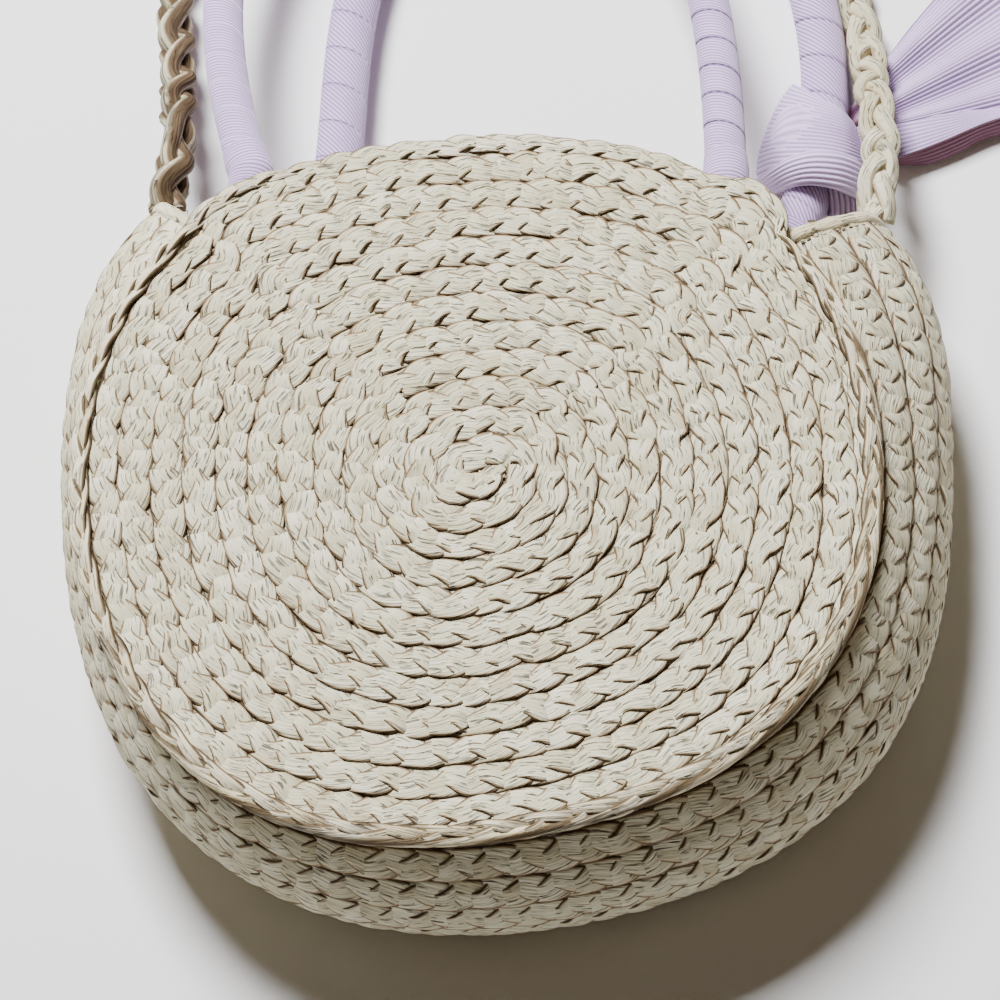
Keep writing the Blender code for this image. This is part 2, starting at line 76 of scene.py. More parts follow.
def add(tree, kind, inputs=None, **settings):
    """Add a node with its settings, and set each input to a value or a hex colour, or link it.

    A link comes from a socket, or from a node's factor, or else from its first output.
    """
    node = tree.nodes.new("ShaderNode" + kind)
    for name, value in settings.items():
        setattr(node, name, value)
    for name, value in (inputs or {}).items():
        if isinstance(value, bpy.types.Node):
            value = value.outputs.get("Fac", value.outputs[0])
        if isinstance(value, bpy.types.NodeSocket):
            tree.links.new(value, node.inputs[name])
        else:
            node.inputs[name].default_value = linear(value) if isinstance(value, str) else value
    return node


def blank(name):
    """A new material without nodes, and its node tree."""
    finish = bpy.data.materials.new(name)
    finish.use_nodes = True
    finish.node_tree.nodes.clear()
    return finish, finish.node_tree


def marks(tree):
    """The coordinates along and across a strand, and the rim and under shares that every sleeve carries."""
    return (add(tree, "UVMap", uv_map="strand"), add(tree, "Attribute", attribute_name="rim"),
            add(tree, "Attribute", attribute_name="under"))


def grain(tree, vector, scale, detail, place=(0, 0, 0), turn=0, roughness=0.5):
    """Noise that runs with a surface: so fine along, across and up, moved to a place and turned about up."""
    spot = add(tree, "Mapping", {"Vector": vector, "Location": place, "Rotation": (0, 0, turn), "Scale": scale})
    return add(tree, "TexNoise", {"Vector": spot, "Scale": 1.0, "Detail": detail, "Roughness": roughness})


def close_material(tree, colour, relief, strength, distance, looks):
    """End a material: the relief as bump, up to a distance in metres, on one shader with the looks given."""
    bump = add(tree, "Bump", {"Height": relief, "Strength": strength, "Distance": distance})
    shader = add(tree, "BsdfPrincipled", {"Base Color": colour, "Normal": bump, **looks})
    add(tree, "OutputMaterial", {"Surface": shader})


def raffia(name, cream, shade, edge, groove):
    """Raffia straw, crushed flat and plaited: dry and matt, with lengthwise wrinkles and warm, darker edges."""
    finish, tree = blank(name)
    strand, rim, under = marks(tree)
    # Each length's own shade, in patches 60 mm long and a strand wide, and wrinkles 0.7 mm apart and 14 mm long
    patch = grain(tree, strand, (16, 120, 1), 2.0)
    crease = grain(tree, strand, (70, 1400, 1), 3.0, roughness=0.55)
    # Where the straw has split: clusters, the slits in them, 5 mm long on the same grain, and some across it
    cluster = grain(tree, strand, (70, 260, 1), 1.0, place=(7, 1, 0))
    slit = grain(tree, strand, (140, 1250, 1), 2.0, place=(3, 5, 0))
    fold = grain(tree, strand, (190, 1150, 1), 2.0, turn=0.6)
    patch_share = add(tree, "MapRange", {"Value": patch, "From Min": 0.36, "From Max": 0.66})
    body = add(tree, "MixRGB", {"Fac": patch_share, "Color1": cream, "Color2": shade})
    # The cut edges and the edge of the plait are warmer
    rim_share = add(tree, "MapRange", {"Value": rim, "From Min": 0.50, "From Max": 0.85, "To Max": 0.7})
    selvage = add(tree, "MapRange", {"Value": under, "From Min": -0.2, "From Max": -0.9, "To Max": 0.9})
    edge_share = add(tree, "Math", {0: rim_share, 1: selvage}, operation="MAXIMUM")
    edged = add(tree, "MixRGB", {"Fac": edge_share, "Color1": body, "Color2": edge})
    # Slits run along the straw where they are many and across it where they are few; its last 0.3 mm is painted
    # dark, as shade between the strands
    slit_long, slit_cross, many, few = (
        add(tree, "MapRange", {"Value": value, "From Min": low, "From Max": high})
        for value, low, high in ((slit, 0.58, 0.65), (fold, 0.59, 0.66), (cluster, 0.42, 0.58),
                                 (cluster, 0.60, 0.44)))
    slit_many = add(tree, "Math", {0: slit_long, 1: many}, operation="MULTIPLY")
    slit_few = add(tree, "Math", {0: slit_cross, 1: few}, operation="MULTIPLY")
    slit_share = add(tree, "Math", {0: slit_many, 1: slit_few}, operation="MAXIMUM")
    brink = add(tree, "MapRange", {"Value": rim, "From Min": 0.63, "From Max": 0.84})
    slit_or_brink = add(tree, "Math", {0: slit_share, 1: brink}, operation="MAXIMUM")
    slit_dark = add(tree, "Math", {0: slit_or_brink, 1: 0.82}, operation="MULTIPLY")
    slitted = add(tree, "MixRGB", {"Fac": slit_dark, "Color1": edged, "Color2": groove})
    # The stretches that pass below the others hold dust and shade
    under_share = add(tree, "MapRange", {"Value": under, "From Min": 0.42, "From Max": 1.0, "To Max": 0.9})
    streak = add(tree, "MapRange", {"Value": crease, "From Min": 0.38, "From Max": 0.60, "To Min": 0.25,
                                    "To Max": 1.2})
    dust_and_shade_mix = add(tree, "Math", {0: under_share, 1: streak}, operation="MULTIPLY", use_clamp=True)
    grooved = add(tree, "MixRGB", {"Fac": dust_and_shade_mix, "Color1": slitted, "Color2": groove})
    slit_depth = add(tree, "Math", {0: slit_share, 1: -0.8}, operation="MULTIPLY")
    relief = add(tree, "Math", {0: crease, 1: slit_depth}, operation="ADD")
    dry = {"Roughness": 0.78, "IOR": 1.45, "Specular IOR Level": 0.25}
    close_material(tree, grooved, relief, 0.85, 0.0009, dry)
    return finish


# The last colour darkens the slits, and is the painted shade along the strands' edges and where they pass below
straw = raffia("raffia_straw_plaited", "#E4DFC2", "#C9C09C", "#CB9F6C", "#3A2B18")


def unit(vectors):
    """The vectors, each at length one."""
    return vectors / np.linalg.norm(vectors, axis=-1, keepdims=True)


def distances(line):
    """How far along the line each of its points lies."""
    return np.concatenate(([0], np.cumsum(np.linalg.norm(np.diff(line, axis=0), axis=1))))


def sampled(places, along, line):
    """The line where its distances along are the places: each coordinate is interpolated."""
    return np.stack([np.interp(places, along, column) for column in line.T], axis=-1)


def evenly(line, spacing):
    """The line's points again, at even distances."""
    along = distances(line)
    return sampled(np.linspace(0, along[-1], max(3, round(along[-1] / spacing) + 1)), along, line)


def smooth_line(route):
    """The Catmull-Rom curve: between two points a cubic that leaves each along the chord of its neighbours."""
    ends = np.vstack((2 * route[:1] - route[1:2], route, 2 * route[-1:] - route[-2:-1]))
    first, start, stop, last = (ends[place:len(ends) - 3 + place, None] for place in range(4))
    t = (np.arange(16) / 16)[None, :, None]
    fine = 0.5 * (2 * start + (stop - first) * t + (2 * first - 5 * start + 4 * stop - last) * t ** 2
                  + (3 * start - first - 3 * stop + last) * t ** 3)
    return np.vstack((fine.reshape(-1, 3), route[-1:]))


def wobble(along, rng, longest=0.09):
    """A slow, uneven swing between about -0.7 and 0.7: the mean of four sines of random length and start."""
    waves = 1 / rng.uniform(longest / 4, longest, 4)
    starts = rng.uniform(0, math.tau, 4)
    return np.sin(math.tau * along[:, None] * waves + starts).mean(axis=1)


def stacked(*parts):
    """Arrays that go together by broadcasting, as the coordinates of one array of points."""
    return np.stack(np.broadcast_arrays(*parts), axis=-1)


def squared(wave, power):
    """A sine or cosine raised to a power, with its sign kept, as in a superellipse."""
    return np.sign(wave) * np.abs(wave) ** power


def swept(course, side, wide, normal, high):
    """A ring round each point of a course: so wide along its side direction, so high along its normal."""
    return course[:, None] + side[:, None] * wide[..., None] + normal[:, None] * high[..., None]


def strand_uv(along, wide, high, number, seed):
    """Places along and round a strand, moved on so that each strand shows its own stretch of pattern."""
    return stacked(along[:, None], wide + high + 0.031 * number + 0.1 * seed)


def plait(line, across, up, pitch, reach, lift, width, thickness, roll, seed, cant=0.0, size=1.0, corners=8,
          pinch=0.25, uneven=1.0, flat_top=0.75, least_dust_and_shade=0.0, point=0.0, ridges=0.0, shaded=0.75, edging=1.0):
    """The three closed strands of a plait, as (points, uv, rim, under) arrays of rings by corners.

    The phase gains a turn each pitch, with a third of a turn between strands. A strand stands reach times
    sin(phase) - point * sin(3 phase) to the side and lift * sin(2 phase) up. Its section is a superellipse, square
    to its own course, that rolls over towards each edge of the plait and narrows there. Cant tips the whole plait,
    size scales it sideways, and ridges swell the section by a cosine of five turns. Under is how far a stretch
    passes below the others, or, below zero, how near it lies to the plait's outer edge; the straw darkens with it
    as dust and painted shade. least_dust_and_shade is the least that under comes to anywhere, shaded its least on
    a strand's underside, as painted shade there, and edging how far its sides count as cut edges: warmer, and with
    a thin dark line of painted shade.
    """
    along = distances(line)
    ahead = unit(np.gradient(line, axis=0))
    size = np.broadcast_to(size, along.shape)
    laid = np.concatenate(([0], np.cumsum(np.diff(along) / np.broadcast_to(pitch, along.shape)[1:])))
    turn = math.tau * (np.arange(corners) + 0.5) / corners
    strands = []
    for number in range(3):
        rng = np.random.default_rng(seed * 10 + number)
        phase = math.tau * (laid + number / 3) + 0.45 * uneven * wobble(along, rng)
        side = reach * size * (np.sin(phase) - point * np.sin(3 * phase)) + 0.0005 * uneven * wobble(along, rng)
        rise = lift * np.sin(2 * phase) + 0.0003 * uneven * wobble(along, rng)
        side, rise = side * np.cos(cant) - rise * np.sin(cant), side * np.sin(cant) + rise * np.cos(cant)
        course = line + across * side[:, None] + up * rise[:, None]
        heading = unit(np.gradient(course, axis=0))
        tilt = cant - roll * np.sin(phase)
        flat = unit(np.cross(up, heading)) * np.sign(np.sum(np.cross(up, ahead) * across, axis=1))[:, None]
        normal = unit(np.cross(heading, flat))
        normal = normal * np.sign(np.sum(normal * up, axis=1))[:, None]
        flat, normal = (flat * np.cos(tilt)[:, None] + normal * np.sin(tilt)[:, None],
                        normal * np.cos(tilt)[:, None] - flat * np.sin(tilt)[:, None])
        half = width / 2 * size * (1 - pinch * np.sin(phase) ** 2) * (1 + 0.16 * uneven * wobble(along, rng))
        thick = thickness / 2 * (1 + 0.2 * uneven * wobble(along, rng))
        fibres = 1 + ridges * np.cos(5 * turn + 2 * wobble(along, rng)[:, None])
        wide = half[:, None] * fibres * squared(np.cos(turn), flat_top)
        high = thick[:, None] * fibres * squared(np.sin(turn), flat_top)
        rim = np.broadcast_to(edging, along.shape)[:, None] * np.abs(np.cos(turn))
        under = (0.5 - 0.5 * np.sin(2 * phase)[:, None]) * (0.6 + 0.4 * rim)
        under = np.maximum(under, shaded * (np.sin(turn) < -0.3))
        outer = (side[:, None] + wide) / (np.abs(size) * (reach + width / 2 * (1 - pinch)))[:, None]
        under = np.where((outer > 0.75) & (under < 0.5), -np.clip((outer - 0.65) / 0.3, 0, 1), under)
        under = np.maximum(under, np.broadcast_to(least_dust_and_shade, along.shape)[:, None])
        points = swept(course, flat, wide, normal, high)
        strands.append((points, strand_uv(along, wide, high, number, seed), rim, under))
    return strands


def sleeves(name, parts):
    """One object of closed sleeves, each an array of rings by an even number of corners.

    Quads join each ring to the next, and each end is closed by quads between its two halves. A sleeve whose
    enclosed volume comes out negative has its faces turned round, so all point outwards.
    """
    points, uvs, rims, unders, corners = [], [], [], [], []
    first = 0
    for place, uv, rim, under in parts:
        rows, columns = place.shape[:2]
        grid = np.arange(rows * columns).reshape(rows, columns)
        half = np.arange(columns // 2 - 1)
        sides = np.stack((grid[:-1], np.roll(grid[:-1], -1, 1), np.roll(grid[1:], -1, 1), grid[1:]), axis=-1)
        caps = [np.stack((ring[half], ring[half + 1], ring[columns - 2 - half], ring[columns - 1 - half]), axis=-1)
                for ring in (grid[0], grid[-1])]
        quads = np.concatenate((sides.reshape(-1, 4), caps[0][:, [1, 0, 3, 2]], caps[1]))
        flat = place.reshape(-1, 3) - place.reshape(-1, 3).mean(axis=0)
        a, b, c, d = (flat[quads[:, corner]] for corner in range(4))
        if np.sum(np.cross(a, b) * c) + np.sum(np.cross(a, c) * d) < 0:
            quads = quads[:, ::-1]
        corners.append(first + quads.ravel())
        points.append(place.reshape(-1, 3))
        uvs.append(uv.reshape(-1, 2))
        rims.append(np.broadcast_to(rim, grid.shape).ravel())
        unders.append(np.broadcast_to(under, grid.shape).ravel())
        first += rows * columns
    corners = np.concatenate(corners)
    mesh = bpy.data.meshes.new(name)
    mesh.vertices.add(first)
    mesh.vertices.foreach_set("co", np.concatenate(points).astype(np.float32).ravel())
    mesh.loops.add(len(corners))
    mesh.loops.foreach_set("vertex_index", corners.astype(np.int32))
    mesh.polygons.add(len(corners) // 4)
    mesh.polygons.foreach_set("loop_start", np.arange(0, len(corners), 4, dtype=np.int32))
    mesh.update(calc_edges=True)
    layer = mesh.uv_layers.new(name="strand")
    layer.data.foreach_set("uv", np.concatenate(uvs)[corners].astype(np.float32).ravel())
    for label, values in (("rim", rims), ("under", unders)):
        shares = mesh.attributes.new(label, "FLOAT", "POINT")
        shares.data.foreach_set("value", np.concatenate(values).astype(np.float32))
    mesh.shade_smooth()
    piece = bpy.data.objects.new(name, mesh)
    bpy.context.scene.collection.objects.link(piece)
    return piece


def dressed(name, parts, finish, slot, *nodes, body="bag"):
    """A piece of sleeves with its material, on the body that it rides, in place of the nodes given. Its slot is
    not used.
    """
    piece = sleeves(name, parts)
    piece.data.materials.append(finish)
    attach(piece, body)
    if nodes:
        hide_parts(*nodes)
    return piece


left_route = np.array((
    (-0.1192, 0.1065, 0.0352), (-0.1182, 0.1190, 0.0352), (-0.1180, 0.1340, 0.0325),
    (-0.1196, 0.1483, 0.0275), (-0.1220, 0.1687, 0.0200), (-0.1248, 0.1873, 0.0125),
    (-0.1272, 0.2060, 0.0075), (-0.1272, 0.2320, 0.0062), (-0.1235, 0.2620, 0.0061),
    (-0.1130, 0.2920, 0.0061), (-0.0960, 0.3210, 0.0061), (-0.0850, 0.3440, 0.0061)))
right_route = np.array((
    (0.1038, 0.1070, 0.0350), (0.1047, 0.1190, 0.0352), (0.1053, 0.1312, 0.0335),
    (0.1049, 0.1446, 0.0295), (0.1040, 0.1600, 0.0236), (0.1031, 0.1745, 0.0163),
    (0.1018, 0.1890, 0.0094), (0.0996, 0.2040, 0.0063), (0.0965, 0.2200, 0.0061),
    (0.0905, 0.2400, 0.0061), (0.0805, 0.2610, 0.0061), (0.0670, 0.2820, 0.0064),
    (0.0525, 0.2980, 0.0100), (0.0410, 0.3120, 0.0158), (0.0345, 0.3280, 0.0190),
    (0.0327, 0.3460, 0.0176)))
coil_centre = (-0.015, 0.366)
steps_a_turn = 24
coil_step = np.arange(1.5 * steps_a_turn + 1)
coil_turn = math.tau * coil_step / steps_a_turn
coil_reach = 0.0674 - 0.0127 * coil_step / steps_a_turn
coil_climb = 0.0026 * np.maximum(0, 1 - (coil_step[-1] - coil_step) / 4) ** 2
coil_route = stacked(coil_centre[0] - coil_reach * np.cos(coil_turn),
                     coil_centre[1] + coil_reach * np.sin(coil_turn), 0.00605 + coil_climb)
strap_route = np.vstack((left_route, coil_route, right_route[::-1]))
strap_line = evenly(smooth_line(strap_route), 0.0012)
strap_across = unit(np.cross(np.gradient(strap_line, axis=0), (0, 0, 1)))
strap_up = unit(np.cross(strap_across, np.gradient(strap_line, axis=0)))
strap_share = np.linspace(0, 1, len(strap_line))
strap_left = np.clip((0.24 - strap_share) / 0.06, 0, 1)    # the left run: pulled longer and on edge, and darkened brown as painted shade
strap_right = np.clip((strap_share - 0.78) / 0.06, 0, 1)    # the right run: looser too, and flatter
# The left run's higher least_dust_and_shade and full edging paint it darker brown: painted shade
strap_strands = plait(strap_line, strap_across, strap_up,
                      pitch=0.032 + 0.024 * strap_left + 0.013 * strap_right, reach=0.0034,
                      lift=0.0018 + 0.0012 * strap_left - 0.0002 * strap_right,
                      width=0.0063 + 0.0009 * strap_right,
                      thickness=0.0036 + 0.0022 * strap_left + 0.0010 * strap_right, roll=0.45,
                      cant=math.radians(75) * strap_left, seed=3, corners=20, uneven=1.6,
                      pinch=0.34 - 0.24 * strap_left, flat_top=0.8, least_dust_and_shade=0.50 + 0.36 * strap_left,
                      point=0.10, ridges=0.06, shaded=0.50, edging=0.70 + 0.30 * strap_left)
for strand_points, *_ in strap_strands:
    strand_points[..., 2] = np.maximum(strand_points[..., 2], 0.0002)    # the strands press flat on the table
strap = dressed("shoulder_strap", strap_strands, straw, "straw",
                "strap_left_run", "strap_coil", "strap_right_run")

# Back panel
# A flat raffia plait, 9.6 mm wide, wound twelve times round a short straight start and sewn edge to edge.
panel_radius = 0.120
bag_depth = 0.070
front_slide = 0.016
shoulder_angle = math.radians(46.5)
seam_width = 0.0049
ring_count = 12
plait_width = 0.0096
start_angle = math.radians(20)
flat_plait = {"pitch": 0.030, "thickness": 0.0009, "pinch": 0.34, "flat_top": 0.45}


def outline_radius(angle):
    """The panel's radius at an angle from the mouth: a circle with four harmonics of squash."""
    cosines = enumerate((0.010, -0.018, -0.008, -0.018), 1)
    sines = enumerate((-0.009, 0.014, -0.006, 0.011), 1)
    share = 1 + sum(part * np.cos(order * angle) for order, part in cosines)
    return panel_radius * (share + sum(part * np.sin(order * angle) for order, part in sines))


def racked(height):
    """How far the bag's section at a height has slid along X, as the soft bag leans."""
    return -front_slide * height / bag_depth


def past_shoulder(angle):
    """How far round an angle lies past the nearer shoulder, away from the mouth: below zero along the mouth."""
    return np.abs((angle + math.pi) % math.tau - math.pi) - shoulder_angle


def seam_inset(angle):
    """How far inside the outline the panel ends: a seam's width round the gusset, nothing along the mouth."""
    ramp = np.clip(past_shoulder(angle) / math.radians(4) + 0.6, 0, 1)
    return seam_width * ramp * ramp * (3 - 2 * ramp)


def shoulder_swell(angle):
    """How far the front panel's edge stands out at the right shoulder: a bell, steeper by the handle's foot."""
    away = angle % math.tau - math.radians(40)
    return 0.0065 * np.exp(-(away / np.where(away < 0, math.radians(4.2), math.radians(6.5))) ** 2)


def outwards(directions, places):
    """The directions, all turned round together where on the whole they point inwards."""
    return directions * np.sign(np.sum(directions * places, axis=-1).mean())


def spiral(height, spacing, swollen):
    """The spiral plait's line, outward direction, and width share at each point.

    The distance from the middle grows by one plait a turn. Over the last turn the plait narrows between its
    neighbour and the edge until it is tucked away. The first turns are drawn out along the straight start.
    """
    turns = np.linspace(0.16, ring_count + 0.32, 12000)
    angle = math.tau * turns + 0.9
    reach = outline_radius(angle) - seam_inset(angle)
    last = np.clip(turns - (ring_count - 0.5), 0, 1)
    share = (turns - last / 2) / ring_count
    swell = swollen * shoulder_swell(angle) * share ** 4
    stretch = 0.0052 * np.exp(-(turns - 0.5) / 1.4) * (1 - np.exp(-turns / 0.35)) * np.sin(angle + start_angle)
    x = (reach + swell) * share * np.sin(angle) + racked(height) + stretch * math.cos(start_angle)
    y = (reach + swell) * share * np.cos(angle) + stretch * math.sin(start_angle)
    rough = stacked(x, y, height)
    line = evenly(rough, spacing)
    along = distances(rough)
    size = np.interp(np.linspace(0, along[-1], len(line)), along,
                     (reach + 5 * swell) / ring_count / plait_width * (1 - last))
    ahead = unit(np.gradient(line, axis=0))
    outward = stacked(ahead[:, 1], -ahead[:, 0], 0)
    return line, outwards(outward, line - np.array((racked(height), 0, 0))), size


def panel_backing(height, face, thickness):
    """The plait's turned undersides, as one thin closed disc: dark behind the gaps, plain inside the bag."""
    angle = np.linspace(0, math.tau, 120, endpoint=False)
    reach = outline_radius(angle) - seam_inset(angle) - 0.0012 + (face > 0) * shoulder_swell(angle)
    shares = np.array((0.02, 0.5, 1, 1, 0.5, 0.02))[:, None]
    heights = height + thickness * np.array((0.5, 0.5, 0.5, -0.5, -0.5, -0.5))[:, None]
    x = shares * reach * np.sin(angle) + racked(height)
    y = shares * reach * np.cos(angle)
    # The outer side, behind the gaps, is marked under 0.84 and darkened as painted shade; the inner side 0.5
    return stacked(x, y, heights), stacked(x, y), 0, np.where((heights - height) * face > 0, 0.84, 0.5)


def panel(name, height, face, spacing, corners, seed):
    """A sewn spiral of plait: each ring tips so that its outer edge laps the next, most at the lower right."""
    line, outward, size = spiral(height, spacing, face > 0)
    up = np.array((0, 0, face))
    lower_right = np.cos(np.arctan2(line[:, 0] - racked(height), line[:, 1]) - math.radians(135))
    strands = plait(line, outward, up, reach=0.0021, lift=0.00057 - 0.00017 * lower_right, width=0.0095, roll=0.09,
                    cant=0.045 + 0.025 * lower_right, size=size, seed=seed, corners=corners, uneven=1.3,
                    point=-0.05, **flat_plait)
    start = np.array((math.cos(start_angle), math.sin(start_angle), 0))
    middle = np.array((racked(height), 0, height - face * 0.0003))
    stub = middle + start * np.linspace(-0.008, 0.008, 14)[:, None]
    strands += plait(stub, np.array((-start[1], start[0], 0)), up, reach=0.0014, lift=0.0004, width=0.0060,
                     roll=0.08, seed=seed + 1, corners=corners, **flat_plait)
    strands.append(panel_backing(height - face * 0.0010, face, 0.0004))
    dressed(name + "_plait", strands, straw, "straw", name)


panel("back_panel", height=0.0022, face=-1.0, spacing=0.0020, corners=6, seed=5)

# Back seam ridge
# A narrow raffia plait in a warmer straw, sewn over the seam between the back panel and the gusset as edging.


def twist(line, across, up, pitch, reach, width, thickness, count):
    """Closed strands twisted about a line: each stands reach away and turns once round it in a pitch."""
    along = distances(line)
    turn = math.tau * np.arange(8) / 8
    strands = []
    for number in range(count):
        rng = np.random.default_rng(10 + number)
        phase = math.tau * (along / pitch + number / count) + 0.6 * wobble(along, rng)
        away = across * np.cos(phase)[:, None] + up * np.sin(phase)[:, None]
        beside = across * -np.sin(phase)[:, None] + up * np.cos(phase)[:, None]
        wide = width / 2 * np.cos(turn) * (1 + 0.2 * wobble(along, rng))[:, None]
        high = thickness / 2 * np.sin(turn) * (1 + 0.2 * wobble(along, rng))[:, None]
        points = swept(line + away * reach, beside, wide, away, high)
        uv = strand_uv(along, wide, high, number, 1)
        # Each strand's underside is marked under 0.9 and darkened as painted shade
        strands.append((points, uv, np.abs(np.cos(turn)), 0.9 * (np.sin(turn) < -0.3)))
    return strands


straw_edge = raffia("raffia_straw_edging", "#E9E0C4", "#D9CBA4", "#C6A672", "#3A2B18")


def gusset_bulge(angle):
    """How far the gusset stands out at mid-depth: even round the bottom, flared at the shoulders."""
    return 0.013 + 0.018 * np.exp(-(past_shoulder(angle) / math.radians(26)) ** 2)


def around(angle, inset, height):
    """A point at an angle from the mouth, at an inset from the outline, at a height above the table."""
    reach = outline_radius(angle) - inset
    return stacked(reach * np.sin(angle) + racked(height), reach * np.cos(angle), height)


def ridge(name, height, face, seed):
    """The edging along one seam, from shoulder to shoulder round the bottom: a flat plait on a round filler.

    The plait is pulled to 42 mm a turn, so its leaves lie almost along the seam, and it faces half outwards.
    """
    angle = np.linspace(shoulder_angle, math.tau - shoulder_angle, 1200)
    line = evenly(around(angle, 0.0023, height), 0.0014)
    ahead = unit(np.gradient(line, axis=0))
    outward = outwards(unit(np.cross(ahead, (0, 0, 1))), line)
    normal = unit(outward * 0.75 + np.array((0, 0, face)))
    across = unit(np.cross(ahead, normal))
    side = np.arctan2(line[:, 0], line[:, 1]) % math.tau
    gaping = np.clip((side - math.radians(238)) / math.radians(20), 0, 1)
    inward = 0.0019 * (1 - gaping)
    taper = np.clip(np.minimum(distances(line), distances(line)[::-1]) / 0.014, 0.3, 1)
    leaves = plait(line + normal * 0.0009 - outward * inward[:, None], across, normal, pitch=0.042, reach=0.0017,
                   lift=0.0010, width=0.0049 - 0.0006 * gaping.mean(), thickness=0.0017, roll=0.25, size=taper,
                   seed=seed, pinch=0.3, flat_top=0.6)
    filler = twist(line[8:-8], across[8:-8], normal[8:-8], pitch=0.08, reach=0.0, width=0.0038, thickness=0.0038,
                   count=1)
    dressed(name + "_edging", [*leaves, *filler], straw_edge, "straw_edge", name)


ridge("back_seam_ridge", height=0.0038, face=-1.0, seed=7)

# Gusset
# Six rows of the same flat plait, sewn side by side into a band that bulges between the two seams.
# Its ends are turned in at the shoulders and sewn down as a hem.
gusset_rows = 6


def gusset_face(angle, share):
    """The gusset's outer face: the outline pushed out by the bulge times the sine of half a turn's share."""
    angle, share = np.broadcast_arrays(angle, share)
    height = seam_width + (bag_depth - 2 * seam_width) * share
    return around(angle, -gusset_bulge(angle) * np.sin(math.pi * share), height)


def gusset_row(number):
    """One row of plait, from shoulder to shoulder, as wide as the face leaves for it at each angle."""
    angle = np.linspace(shoulder_angle + 0.012, math.tau - shoulder_angle - 0.012, 2400)
    fine = np.linspace(0, 1, 121)
    section = distances(gusset_face(math.pi, fine))
    edges = np.interp(np.array((number, number + 0.5, number + 1)) / gusset_rows * section[-1], section, fine)
    low, middle, high = (gusset_face(angle, share) for share in edges)
    along = distances(middle)
    even = np.linspace(0, along[-1], round(along[-1] / 0.00125))
    low, middle, high = (sampled(even, along, rail) for rail in (low, middle, high))
    across = unit(high - low)
    outward = outwards(unit(np.cross(across, unit(np.gradient(middle, axis=0)))), middle)
    size = np.linalg.norm(high - low, axis=1) / plait_width
    return plait(middle - outward * 0.0013, across, outward, reach=0.0020, lift=0.00045, width=0.0088, roll=0.08,
                 cant=-0.07, size=size, seed=20 + number, **flat_plait)


def gusset_inward(face):
    """The direction into the bag at each point of the gusset's face: square to both ways along it."""
    return -outwards(unit(np.cross(np.gradient(face, axis=0), np.gradient(face, axis=1))), face * (1, 1, 0))


def gusset_backing(depth, thickness):
    """The turned undersides of the rows, as one thin closed shell at a depth below the face."""
    angle = np.linspace(shoulder_angle + 0.01, math.tau - shoulder_angle - 0.01, 220)[:, None]
    share = np.linspace(0.01, 0.99, 17)[None, :]
    face = gusset_face(angle, share)
    inward = gusset_inward(face)
    points = np.concatenate((face + inward * depth, (face + inward * (depth + thickness))[:, ::-1]), axis=1)
    # The outer side, behind the gaps between rows, is marked under 1 and darkened as painted shade; the inner side
    # 0.5
    return points, points[..., :2], 0, np.repeat((1, 0.5), share.size)


gusset_strands = [strand for number in range(gusset_rows) for strand in gusset_row(number)]
dressed("gusset_plaits", [*gusset_strands, gusset_backing(0.0022, 0.0004)], straw, "straw", "gusset")


def hem(name, angle, seed, height, finish, stitched):
    """A roll of straw, 4.8 mm wide, over one end of the gusset, and a dark stitch every 3 mm where they show.

    The roll is a superellipse carried from seam to seam, whose width and height swing unevenly along it.
    """
    side = math.copysign(1, math.pi - angle)
    share = np.linspace(0.0, 1.0, 90)
    rng = np.random.default_rng(seed)
    line = evenly(gusset_face(angle + side * 0.010, share), 0.0009)
    along = distances(line)
    ahead = unit(np.gradient(line, axis=0))
    rows = unit(evenly(gusset_face(angle + side * 0.020, share), 0.0009)[:len(line)] - line)
    outward = outwards(unit(np.cross(ahead, rows)), line * (1, 1, 0))
    turn = math.tau * (np.arange(12) + 0.5) / 12
    wide = 0.0024 * (1 + 0.18 * wobble(along, rng, 0.03))[:, None] * squared(np.cos(turn), 0.7)
    high = height * (1 + 0.12 * wobble(along, rng, 0.03))[:, None] * squared(np.sin(turn), 0.8)
    parts = [(swept(line - outward * (height - 0.0007), rows, wide, outward, high),
              strand_uv(along, wide, high, 0, seed), 0, 0)]
    small = np.linspace(-1, 1, 5)
    girth = 0.00035 * np.sqrt(1.02 - small ** 2)[:, None, None]
    for spot in np.searchsorted(along, np.arange(0.004, along[-1] - 0.003, 0.0032)) if stitched else ():
        centre = line[spot] + rows[spot] * 0.0031 - outward[spot] * 0.0004
        centre = centre + ahead[spot] * (small * 0.0011)[:, None]
        round_it = (rows[spot] * np.cos(turn[::2])[:, None] + outward[spot] * np.sin(turn[::2])[:, None])[None]
        stitch = centre[:, None] + round_it * girth
        parts.append((stitch, stitch[..., :2], 0, 0.66))
    dressed(name, parts, finish, "straw_edge")


hem("gusset_hem_right", shoulder_angle, seed=51, height=0.0025, finish=straw_edge, stitched=True)
hem("gusset_hem_left", math.tau - shoulder_angle, seed=52, height=0.0022, finish=straw, stitched=False)

# Front panel and its seam ridge
# The same spiral as the back, with the bag's front face at 70 mm, and the same edging over its seam.
panel("front_panel", height=0.0680, face=1.0, spacing=0.00125, corners=8, seed=6)
ridge("front_seam_ridge", height=0.0677, face=1.0, seed=8)

